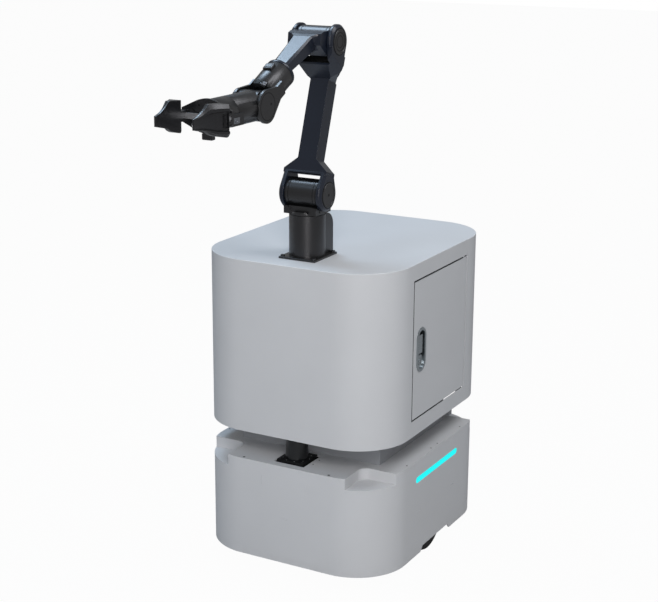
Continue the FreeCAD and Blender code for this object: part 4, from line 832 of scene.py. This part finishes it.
@dataclass
class Wheels:
    """Driven wheels and swivel casters."""

    sides: tuple[str, str] = ("left", "right")
    ends: tuple[str, str] = ("front", "rear")

    def build(self) -> None:
        """Dresses hubs, tyres, forks and rollers."""
        for side in self.sides:
            clad(Slot.HUB_METAL, (f"drive_hub_{side}",))
            clad(Slot.TYRE, (f"drive_tyre_{side}",))
            for end in self.ends:
                clad(Slot.FRAME_STEEL, (f"caster_fork_{end}_{side}",))
                clad(Slot.CASTER_RUBBER, (f"caster_wheel_{end}_{side}",))


@dataclass
class Cabinet:
    """Neck, cabinet, its door with handle and lock, and what stands inside."""

    seal_shade_x: float = 0.206
    seal_shade_thick: float = 0.0022
    seal_shade_outer: Point = (-0.1346, 0.3062, 0.6068)
    seal_shade_inner: Point = (-0.1214, 0.3194, 0.5936)
    seal_shade_lip: Point = (-0.1244, 0.3164, 0.5966)
    seal_shade_reach: float = 0.0041
    seal_shade_low_end: float = 0.021
    seal_shade_high_end: float = 0.100

    def build(self) -> None:
        """Dresses the cabinet."""
        clad(Slot.BODY_PAINT, ("cabinet_shell", "door_panel"))
        clad(Slot.NECK_PAINT_AND_SHADE, ("neck_frame", "rear_cable_cover"))
        clad(Slot.FRAME_STEEL, ("cabinet_frame", "roof_stiffener", "hinge_pins", "hinge_brackets"))
        clad(Slot.CONTROLLER_METAL, ("main_computer", "arm_supply"))
        clad(Slot.HANDLE_METAL, ("handle_bezel", "handle_lever", "door_lock"))
        self.door_seal_and_shade()

    def door_seal_and_shade(self) -> None:
        """Black seal behind the gap round the door, left out along the hinges; its black also paints the
        shade in the gap.
        """
        blank = Blank()
        at = standing((self.seal_shade_x, 0.0, 0.0), X_AXIS, Z_AXIS)
        lip, sill, head = self.seal_shade_inner
        for edges, height in ((self.seal_shade_outer, self.seal_shade_thick), (self.seal_shade_lip, self.seal_shade_reach)):
            front, low, high = edges
            outline = [
                (front, low), (self.seal_shade_low_end, low), (self.seal_shade_low_end, sill), (lip, sill), (lip, head),
                (self.seal_shade_high_end, head), (self.seal_shade_high_end, high), (front, high),
            ]
            blank.slab(outline, height, at)
        blank.bevel(0.0003)
        # painted shade: the black strip makes the door gap dark where shade falls
        blank.piece("door_seal_and_shade", "robot", Slot.BLACK_PLASTIC)


@dataclass
class Scanner:
    """Laser scanner in the front gap."""

    y: float = -0.199
    flange: float = 0.223
    plinth: float = 0.231
    overlap: float = 0.001
    half_side: float = 0.0294
    corner: float = 0.0248
    screw_radius: float = 0.0024
    screw_height: float = 0.0009
    screw_socket: float = 0.0012
    pins: int = 10
    pin_circle: float = 0.0278
    pin_radius: float = 0.0008
    pin_height: float = 0.0005

    def build(self) -> None:
        """Dresses the scanner and raises its mounting plinth."""
        clad(Slot.BLACK_PLASTIC, ("scanner_tray", "scanner_base"))
        clad(Slot.SCANNER_WINDOW, ("scanner_head",))
        self.mounting()

    def mounting(self) -> None:
        """Square plinth, the screws in its corners and the pins round the foot."""
        side = self.half_side
        outline = [(-side, -side), (side, -side), (side, side), (-side, side)]
        blank = Blank()
        base = standing((0.0, self.y, self.flange - self.overlap), Z_AXIS, Y_AXIS)
        blank.slab(outline, self.plinth - self.flange + self.overlap, base)
        blank.bevel(0.0012)
        blank.piece("scanner_plinth", "robot", Slot.BLACK_PLASTIC)
        screws = Blank()
        for x in (-self.corner, self.corner):
            for y in (-self.corner, self.corner):
                at = standing((x, self.y + y, self.plinth - 0.0002), Z_AXIS, Y_AXIS)
                screws.screw(at, self.screw_radius, self.screw_height, self.screw_socket)
        screws.piece("scanner_screws", "robot", Slot.GRIPPER_BLACK)
        pins = Blank()
        for step in range(self.pins):
            turn = 2 * math.pi * step / self.pins
            x, y = self.pin_circle * math.cos(turn), self.pin_circle * math.sin(turn)
            at = standing((x, self.y + y, self.plinth), Z_AXIS, Y_AXIS)
            pins.lathe(plug(self.pin_radius, self.pin_height), at, 12)
        pins.piece("scanner_pins", "robot", Slot.BUTTON_METAL)


@dataclass
class Arm:
    """Six-axis arm on the cabinet's roof."""

    foot_x: float = 0.0015
    foot_y: float = -0.160
    foot_top: float = 0.6323
    bolt_x: float = 0.0335
    bolt_y: float = 0.038
    shoulder: Vector = field(default_factory=lambda: Vector((0.0, -0.1605, 0.751)))
    elbow: Vector = field(default_factory=lambda: Vector((0.0, -0.12046, 1.03281)))
    wrist: Vector = field(default_factory=lambda: Vector((0.0, -0.3520, 0.93968)))
    lean: float = -18.5
    slope: float = 27.2
    offset: float = 0.023
    roll_radius: float = 0.0278
    motor_radius: float = 0.028
    drum_rings: tuple[float, ...] = (-0.0332, -0.0270, 0.0256, 0.0318)
    drum_plugs: tuple[float, ...] = (62.4, -37.0)
    drum_plug_x: float = -0.0286
    turret_plug: Point = (0.0348, -0.1749, 0.7192)
    small_plug: float = 0.0022
    cap_face: float = 0.0466
    fork_face: float = 0.046
    cap_radius: float = 0.0235
    cap_plug: float = 0.0026
    cap_lines: tuple[float, ...] = (0.0105, 0.0162)
    cheek_face: float = 0.030
    cheek_line: float = 0.0235
    yoke_hole: Point = (0.030, -0.3409, 0.9433)
    screw: Point = (0.0042, 0.0034, 0.0022)
    # The first block is a black wall that paints the shade in the elbow fork's slot; the others are the
    # harness's plugs.
    harness_and_shade: tuple[tuple[float, float, float, Point], ...] = (
        (0.0, -0.0373, 0.2465, (0.068, 0.0024, 0.0138)),
        (-0.022, -0.0425, 0.2404, (0.014, 0.0070, 0.0018)),
        (0.0, -0.0425, 0.2404, (0.018, 0.0070, 0.0018)),
        (0.022, -0.0425, 0.2404, (0.012, 0.0070, 0.0018)),
    )

    def build(self) -> None:
        """Dresses the arm and adds its screws."""
        clad(Slot.ARM_BLACK, ("upper_arm", "forearm_shroud"))
        clad(Slot.ARM_GREY, ("arm_foot", "arm_column", "arm_turret", "shoulder_motor", "shoulder_caps"))
        clad(Slot.ARM_GREY, ("elbow_motor", "elbow_caps", "roll_housing", "wrist_housing"))
        self.foot_screws()
        self.caps()
        self.motors()
        self.roll()
        self.elbow_harness_and_shade()
        self.round_edges()

    def round_edges(self) -> None:
        """Breaks the sharp edges of the arm's castings, which catch the light."""
        castings = {
            "upper_arm": 0.0008, "forearm_shroud": 0.0007, "arm_turret": 0.0006, "shoulder_caps": 0.0003,
            "elbow_caps": 0.0003, "roll_housing": 0.0005, "wrist_housing": 0.0005, "arm_foot": 0.0006,
        }
        for name, width in castings.items():
            broken_edges(name, width)

    def across(self, centre: Vector, x: float) -> Matrix:
        """A placement on a joint's axis, facing away from the middle."""
        return standing((x, centre.y, centre.z), X_AXIS * math.copysign(1.0, x), Z_AXIS)

    def on_roll(self, along: float, turn: float, radius: float) -> Matrix:
        """A placement on the roll housing, with Z out of its surface and Y towards the hand.

        Args:
            along: Distance from the elbow along the forearm.
            turn: Degrees from the top towards the left.
            radius: Distance from the roll axis.

        Returns:
            The placement.
        """
        tilt, angle = math.radians(self.slope), math.radians(turn)
        forward = Vector((0.0, -math.cos(tilt), -math.sin(tilt)))
        up = Vector((0.0, -math.sin(tilt), math.cos(tilt)))
        outward = Vector((-math.sin(angle), 0.0, 0.0)) + up * math.cos(angle)
        at = self.elbow + up * self.offset + forward * along + outward * radius
        return standing(at, outward, forward)

    def caps(self) -> None:
        """Rims and dark joints of the caps on both ends of the two forks."""
        rims, lines = Blank(), Blank()
        rim = ring(self.cap_radius - 0.0030, self.cap_radius, 0.0008, 0.0006)
        for centre in (self.shoulder, self.elbow):
            for side in (-1, 1):
                rims.lathe(rim, self.across(centre, side * self.cap_face), 64)
                lines.lathe(line(self.cap_radius, 0.0020), self.across(centre, side * self.fork_face), 64)
        for side in (-1, 1):
            lines.lathe(plug(self.cap_plug), self.across(self.shoulder, side * self.cap_face), 24)
            for radius in self.cap_lines:
                lines.lathe(line(radius, 0.0014), self.across(self.elbow, side * self.cap_face), 64)
        rims.piece("cap_rims", "upper_arm_link", Slot.ARM_GREY)
        lines.piece("cap_joints", "upper_arm_link", Slot.BLACK_PLASTIC)

    def motors(self) -> None:
        """End rings of the two motor drums and the plugs in the shoulder drum and the turret."""
        drums = (
            (self.shoulder, "turret", "shoulder_drum_rings"),
            (self.elbow, "forearm_link", "elbow_drum_rings"),
        )
        band = ring(self.motor_radius - 0.0002, self.motor_radius + 0.00015, 0.0010, 0.00005)
        for centre, body, name in drums:
            blank = Blank()
            for x in self.drum_rings:
                blank.lathe(band, standing((x, centre.y, centre.z), X_AXIS, Z_AXIS), 96)
            if body == "turret":
                for angle in self.drum_plugs:
                    turn = math.radians(angle)
                    outward = Vector((0.0, -math.cos(turn), math.sin(turn)))
                    at = Vector((self.drum_plug_x, centre.y, centre.z)) + outward * self.motor_radius
                    blank.lathe(plug(self.small_plug), standing(at, outward, X_AXIS), 24)
                blank.lathe(plug(self.small_plug), standing(self.turret_plug, X_AXIS, Z_AXIS), 24)
            blank.piece(name, body, Slot.BLACK_PLASTIC)

    def elbow_harness_and_shade(self) -> None:
        """Black wall behind the slot of the elbow fork, which paints the shade in the slot, with the plugs
        of the arm's harness.
        """
        tilt = math.radians(self.lean)
        across = Vector((0.0, math.cos(tilt), math.sin(tilt)))
        along = Vector((0.0, -math.sin(tilt), math.cos(tilt)))
        blank = Blank()
        for x, side, height, size in self.harness_and_shade:
            at = self.shoulder + across * side + along * height + X_AXIS * x
            blank.block(size, standing(at, along, across))
        blank.bevel(0.0005)
        blank.piece("elbow_harness_and_shade", "upper_arm_link", Slot.BLACK_PLASTIC)

    def roll(self) -> None:
        """Connector blocks, plugs and joint lines of the roll housing."""
        rear = Blank()
        rear.block((0.019, 0.0158, 0.0075), self.on_roll(0.169, 4.0, 0.0277))
        rear.bevel(0.0016, 3)
        rear.block((0.013, 0.0095, 0.001), self.on_roll(0.169, 4.0, 0.0317))
        rear.piece("roll_rear_connector", "roll_link", Slot.GRIPPER_BLACK)
        front = Blank()
        front.block((0.0125, 0.0115, 0.0080), self.on_roll(0.2160, 2.0, 0.0248))
        front.block((0.0150, 0.0060, 0.0055), self.on_roll(0.2130, -2.0, 0.0262))
        front.block((0.0060, 0.0070, 0.0060), self.on_roll(0.2150, -44.0, 0.0255))
        front.bevel(0.0008)
        front.piece("roll_front_connector", "roll_link", Slot.BLACK_PLASTIC)
        plate = Blank()
        plate.block((0.0100, 0.0090, 0.0060), self.on_roll(0.2150, -22.0, 0.0250))
        plate.bevel(0.0006)
        for turn in (-16.0, -28.0):
            plate.lathe(plug(0.0016, 0.0008), self.on_roll(0.2160, turn, 0.0282), 20)
        plate.piece("roll_socket", "roll_link", Slot.CONTROLLER_METAL)
        dark = Blank()
        for along, turn in ((0.2105, -34.0), (0.2105, -89.9)):
            dark.lathe(plug(0.0019), self.on_roll(along, turn, self.roll_radius), 20)
        dark.lathe(plug(0.0024), standing(self.yoke_hole, X_AXIS, Z_AXIS), 20)
        for side in (-1, 1):
            dark.lathe(line(self.cheek_line, 0.0014), self.across(self.wrist, side * self.cheek_face), 64)
        dark.piece("roll_plugs", "roll_link", Slot.BLACK_PLASTIC)

    def foot_screws(self) -> None:
        """Four cap screws in the foot plate."""
        blank = Blank()
        for side in (-1, 1):
            for end in (-1, 1):
                x, y = self.foot_x + side * self.bolt_x, self.foot_y + end * self.bolt_y
                blank.screw(standing((x, y, self.foot_top - 0.0005), Z_AXIS, Y_AXIS), *self.screw)
        blank.piece("foot_screws", "robot", Slot.GRIPPER_BLACK)


@dataclass
class Gripper:
    """Parallel gripper on the tool flange."""

    wrist: Vector = field(default_factory=lambda: Vector((0.0, -0.3520, 0.93968)))
    face: float = 0.148
    hub_radius: float = 0.0154
    port_centre: Point = (0.0347, -0.0098, 0.1110)
    port_size: Point = (0.0220, 0.0100, 0.0014)
    ring_centre: Flat = (-0.0264, -0.0167)
    pin_centre: Flat = (0.0125, 0.0135)
    plug_centre: Flat = (-0.0465, 0.0050)
    slot_centre: Flat = (-0.0260, 0.0094)
    slot_size: Flat = (0.0084, 0.0032)
    slot_turn: float = -34.0
    screw_centres: tuple[Flat, ...] = ((-0.0145, 0.0180), (0.0105, 0.0176))
    flare: Point = (0.14197, 0.23277, 0.10328)
    rear: float = 0.1712
    tip: float = 0.2400
    stations: int = 18
    top_edge: tuple[Flat, ...] = (
        (0.171, 0.0272), (0.205, 0.0296), (0.211, 0.0252), (0.221, 0.0182), (0.232, 0.0130),
        (0.243, 0.0096),
    )
    top_lip: tuple[Flat, ...] = (
        (0.171, 0.0150), (0.190, 0.0148), (0.205, 0.0135), (0.221, 0.0105), (0.243, 0.0075),
    )
    low_edge: tuple[Flat, ...] = (
        (0.171, -0.0240), (0.175, -0.0272), (0.185, -0.0250), (0.202, -0.0203), (0.210, -0.0151),
        (0.227, -0.0114), (0.243, -0.0078),
    )
    low_lip: tuple[Flat, ...] = (
        (0.171, -0.0160), (0.190, -0.0150), (0.205, -0.0115), (0.221, -0.0085), (0.243, -0.0062),
    )
    proud: tuple[Flat, ...] = (
        (0.171, 0.0052), (0.190, 0.0050), (0.205, 0.0042), (0.222, 0.0026), (0.240, 0.0008),
    )

    def build(self) -> None:
        """Dresses the gripper and adds what stands on its plate."""
        castings = ("gripper_plate", "gripper_base", "finger_left", "finger_right")
        clad(Slot.GRIPPER_BLACK, (*castings, "tool_camera"))
        clad(Slot.RAIL_STEEL, ("gripper_rail",))
        self.plate_fittings()
        self.port()
        for side, jaw in ((-1, "left"), (1, "right")):
            self.finger_frame(side, jaw)
        for name in castings:
            broken_edges(name, 0.0004)

    def facing(self, x: float, up: float, forward: float) -> Matrix:
        """A placement in front of the wrist that faces forward."""
        return standing((x, self.wrist.y - forward, self.wrist.z + up), -Y_AXIS, Z_AXIS)

    def over_finger(self, side: int, forward: float, up: float, proud: float) -> Vector:
        """A point over the hollow outer face of a finger.

        Args:
            side: -1 for the left finger, 1 for the right one.
            forward: Distance in front of the wrist.
            up: Height over the wrist.
            proud: Distance out of the face.

        Returns:
            The point.
        """
        middle_x, middle_forward, radius = self.flare
        x = middle_x - math.sqrt(radius ** 2 - (forward - middle_forward) ** 2)
        out_x, out_forward = (middle_x - x) / radius, (middle_forward - forward) / radius
        return Vector((
            side * (x + out_x * proud), self.wrist.y - forward - out_forward * proud, self.wrist.z + up,
        ))

    def finger_frame(self, side: int, jaw: str) -> None:
        """Raised frame round the hollow outer face of a finger.

        Args:
            side: -1 for the left finger, 1 for the right one.
            jaw: The side's name.
        """
        blank = Blank()
        run = self.tip - self.rear
        stations = [self.rear + run * step / self.stations for step in range(self.stations + 1)]
        for edge, lip in ((self.top_edge, self.top_lip), (self.low_edge, self.low_lip)):
            sections = []
            for forward in stations:
                outer, inner = between(edge, forward), between(lip, forward)
                high = between(self.proud, forward)
                crest = outer + (inner - outer) * 0.5
                shoulder = inner + (outer - inner) * 0.12
                profile = (
                    (outer, -0.0006), (outer, 0.0003), (crest, high), (shoulder, high), (inner, 0.0003),
                    (inner, -0.0006),
                )
                sections.append([self.over_finger(side, forward, up, proud) for up, proud in profile])
            blank.loft(sections)
        high = self.proud[0][1]
        low, top = self.low_lip[0][1], self.top_lip[0][1]
        bar = []
        for up in (low - 0.002, (low + top) / 2, top + 0.002):
            profile = (
                (self.rear, -0.0006), (self.rear, 0.0008), (self.rear + 0.0010, high),
                (self.rear + 0.0018, high), (self.rear + 0.0024, 0.0003), (self.rear + 0.0024, -0.0006),
            )
            bar.append([self.over_finger(side, forward, up, proud) for forward, proud in profile])
        blank.loft(bar)
        blank.piece(f"finger_frame_{jaw}", f"jaw_{jaw}", Slot.GRIPPER_BLACK, 0.4)

    def port(self) -> None:
        """Metal socket plate on the side of the hand's cable port."""
        x, up, forward = self.port_centre
        at = standing((x, self.wrist.y - forward, self.wrist.z + up), X_AXIS, Z_AXIS)
        blank = Blank()
        blank.block(self.port_size, at)
        blank.bevel(0.0004)
        blank.lathe(ring(0.0018, 0.0036, 0.0018), at, 32)
        blank.piece("port_socket", "gripper", Slot.CONTROLLER_METAL)

    def plate_fittings(self) -> None:
        """Hub ring, screws, pin and slot on the front of the plate."""
        dark = Blank()
        hub = ring(self.hub_radius - 0.0022, self.hub_radius, 0.0008)
        dark.lathe(hub, self.facing(0.0, 0.0, self.face), 64)
        for centre in self.screw_centres:
            dark.screw(self.facing(*centre, self.face), 0.0022, 0.0008, 0.0011)
        dark.lathe(plug(0.0017, 0.0003), self.facing(*self.plug_centre, self.face), 20)
        turn = Matrix.Rotation(math.radians(self.slot_turn), 4, "Z")
        turned = self.facing(*self.slot_centre, self.face - 0.0002) @ turn
        dark.slab(slot_outline(*self.slot_size), 0.0006, turned)
        dark.piece("plate_screws", "gripper", Slot.BLACK_PLASTIC)
        bright = Blank()
        bright.lathe(ring(0.0030, 0.0042, 0.0010), self.facing(*self.ring_centre, self.face), 32)
        bright.lathe(plug(0.0013, 0.0012), self.facing(*self.pin_centre, self.face), 20)
        bright.screw(self.facing(*self.ring_centre, self.face), 0.0024, 0.0008, 0.0012)
        bright.piece("plate_ring", "gripper", Slot.RAIL_STEEL)


@dataclass
class Lamp:
    """A large soft area lamp."""

    name: str
    place: Point
    aim: Point
    width: float
    height: float
    power: float
    colour: Colour = WHITE

    def build(self) -> None:
        """Hangs the lamp and turns it to its aim."""
        data = bpy.data.lights.new(self.name, "AREA")
        data.shape = "RECTANGLE"
        data.size = self.width
        data.size_y = self.height
        data.energy = self.power
        data.color = self.colour
        lamp = bpy.data.objects.new(self.name, data)
        lamp.location = self.place
        away = Vector(self.place) - Vector(self.aim)
        lamp.rotation_euler = away.to_track_quat("Z", "Y").to_euler()
        bpy.context.scene.collection.objects.link(lamp)


@dataclass
class Studio:
    """Floor, white surroundings, lamps and the camera."""

    eye: Point = (1.3534, -2.5396, 1.3028)
    azimuth: float = 29.75
    elevation: float = 15.24
    roll: float = 0.06
    lens: float = 80.57
    shift_x: float = 0.0376
    shift_y: float = -0.0142
    ambient: float = 0.2
    floor_colour: Colour = (0.35, 0.355, 0.365)
    floor_white: float = 0.97
    mirror_white: float = 0.15
    mirror_floor: float = 0.25
    lamps: list[Lamp] = field(default_factory=lambda: [
        Lamp("ceiling_lamp", (-1.05, 0.35, 2.8), (0.0, -0.1, 0.8), 0.8, 0.8, 25.5, (0.62, 0.81, 1.0)),
        Lamp("top_lamp", (1.15, 0.25, 2.65), (0.0, -0.1, 0.7), 1.1, 1.1, 18.0, (0.94, 0.97, 1.0)),
        Lamp("front_low_lamp", (1.15, -2.25, 0.9), (0.0, -0.1, 0.45), 0.8, 0.9, 13.5),
        Lamp("front_high_lamp", (1.2, -2.25, 2.1), (0.0, -0.1, 0.6), 0.8, 0.9, 30.0),
        Lamp("left_lamp", (-2.8, -0.75, 1.0), (0.0, 0.0, 0.7), 0.5, 1.6, 3.5, (0.88, 0.94, 1.0)),
        Lamp("fill_lamp", (-1.0, -1.7, 3.2), (0.0, 0.0, 0.7), 1.0, 1.0, 8.0, (0.55, 0.78, 1.0)),
    ])

    def build(self) -> None:
        """Sets up the whole studio."""
        self.camera()
        self.world()
        self.floor()
        for lamp in self.lamps:
            lamp.build()
        view = bpy.context.scene.view_settings
        view.view_transform = "Standard"

    def camera(self) -> None:
        """Places the camera at the photograph's viewpoint."""
        turn, tilt = math.radians(self.azimuth), math.radians(self.elevation)
        back = Vector((math.sin(turn) * math.cos(tilt), -math.cos(turn) * math.cos(tilt), math.sin(tilt)))
        right = Vector((math.cos(turn), math.sin(turn), 0.0))
        up = back.cross(right)
        axes = Matrix((right, up, back)).transposed().to_4x4()
        data = bpy.data.cameras.new("camera")
        data.sensor_fit = "HORIZONTAL"
        data.sensor_width = 36.0
        data.lens = self.lens
        data.shift_x = self.shift_x
        data.shift_y = self.shift_y
        data.clip_end = 50.0
        camera = bpy.data.objects.new("camera", data)
        level = Matrix.Rotation(math.radians(self.roll), 4, "Z")
        camera.matrix_world = Matrix.Translation(self.eye) @ axes @ level
        bpy.context.scene.collection.objects.link(camera)
        bpy.context.scene.camera = camera

    def seen(self, graph: Graph, mirrored: float) -> Term:
        """1 for rays that show the background directly or through glass, else 0 or less than 1.

        Args:
            graph: The tree that asks.
            mirrored: The share that mirrored rays get.

        Returns:
            The share as a term.
        """
        kinds = ("Camera", "Glossy", "Transmission")
        camera, glossy, glass = (graph.term("ShaderNodeLightPath", {}, f"Is {kind} Ray") for kind in kinds)
        return graph.maths("MAXIMUM", graph.maths("MAXIMUM", camera, glossy * mirrored), glass)

    def world(self) -> None:
        """White for the camera and for mirrors, softer for the light on the object."""
        world = bpy.data.worlds.new("surroundings")
        world.use_nodes = True
        graph = Graph.of(world.node_tree)
        soft = graph.term("ShaderNodeBackground", {"Color": WHITE, "Strength": self.ambient})
        white = graph.term("ShaderNodeBackground", {"Color": WHITE, "Strength": 1.0})
        share = self.seen(graph, self.mirror_white)
        both = graph.term("ShaderNodeMixShader", {0: share, 1: soft, 2: white})
        graph.node("ShaderNodeOutputWorld", {0: both})
        bpy.context.scene.world = world

    def floor(self) -> None:
        """A wide pale floor that keeps the robot's shadow."""
        mesh = bmesh.new()
        bmesh.ops.create_grid(mesh, x_segments=8, y_segments=8, size=14.0)
        data = bpy.data.meshes.new("floor")
        mesh.to_mesh(data)
        mesh.free()
        graph = Graph("floor_paint")
        speck = graph.noise(3.0, 2.0)
        paint = graph.mix(speck, self.floor_colour, dimmed(self.floor_colour, 1.02))
        matt = graph.term("ShaderNodeBsdfDiffuse", {"Color": paint})
        white = graph.term("ShaderNodeEmission", {"Color": WHITE, "Strength": 1.0})
        share = self.seen(graph, self.mirror_floor) * self.floor_white
        both = graph.term("ShaderNodeMixShader", {0: share, 1: matt, 2: white})
        graph.node("ShaderNodeOutputMaterial", {"Surface": both})
        data.materials.append(graph.material)
        floor = bpy.data.objects.new("floor", data)
        bpy.context.scene.collection.objects.link(floor)
        floor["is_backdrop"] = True


def corners(box: tuple[Vector, Vector]) -> list[list[float]]:
    """A box as plain lists of numbers."""
    return [list(map(float, box[0])), list(map(float, box[1]))]


def main() -> None:
    """Loads the frame, dresses it and builds the studio round it."""
    logging.basicConfig(level=logging.INFO, format="%(message)s")
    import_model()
    cad = corners(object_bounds())
    Studio().build()
    for part in (Base(), Wheels(), Cabinet(), Scanner(), Arm(), Gripper()):
        part.build()
        LOG.info("%s done", type(part).__name__)
    visual = corners(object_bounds())


if __name__ == "__main__":
    main()
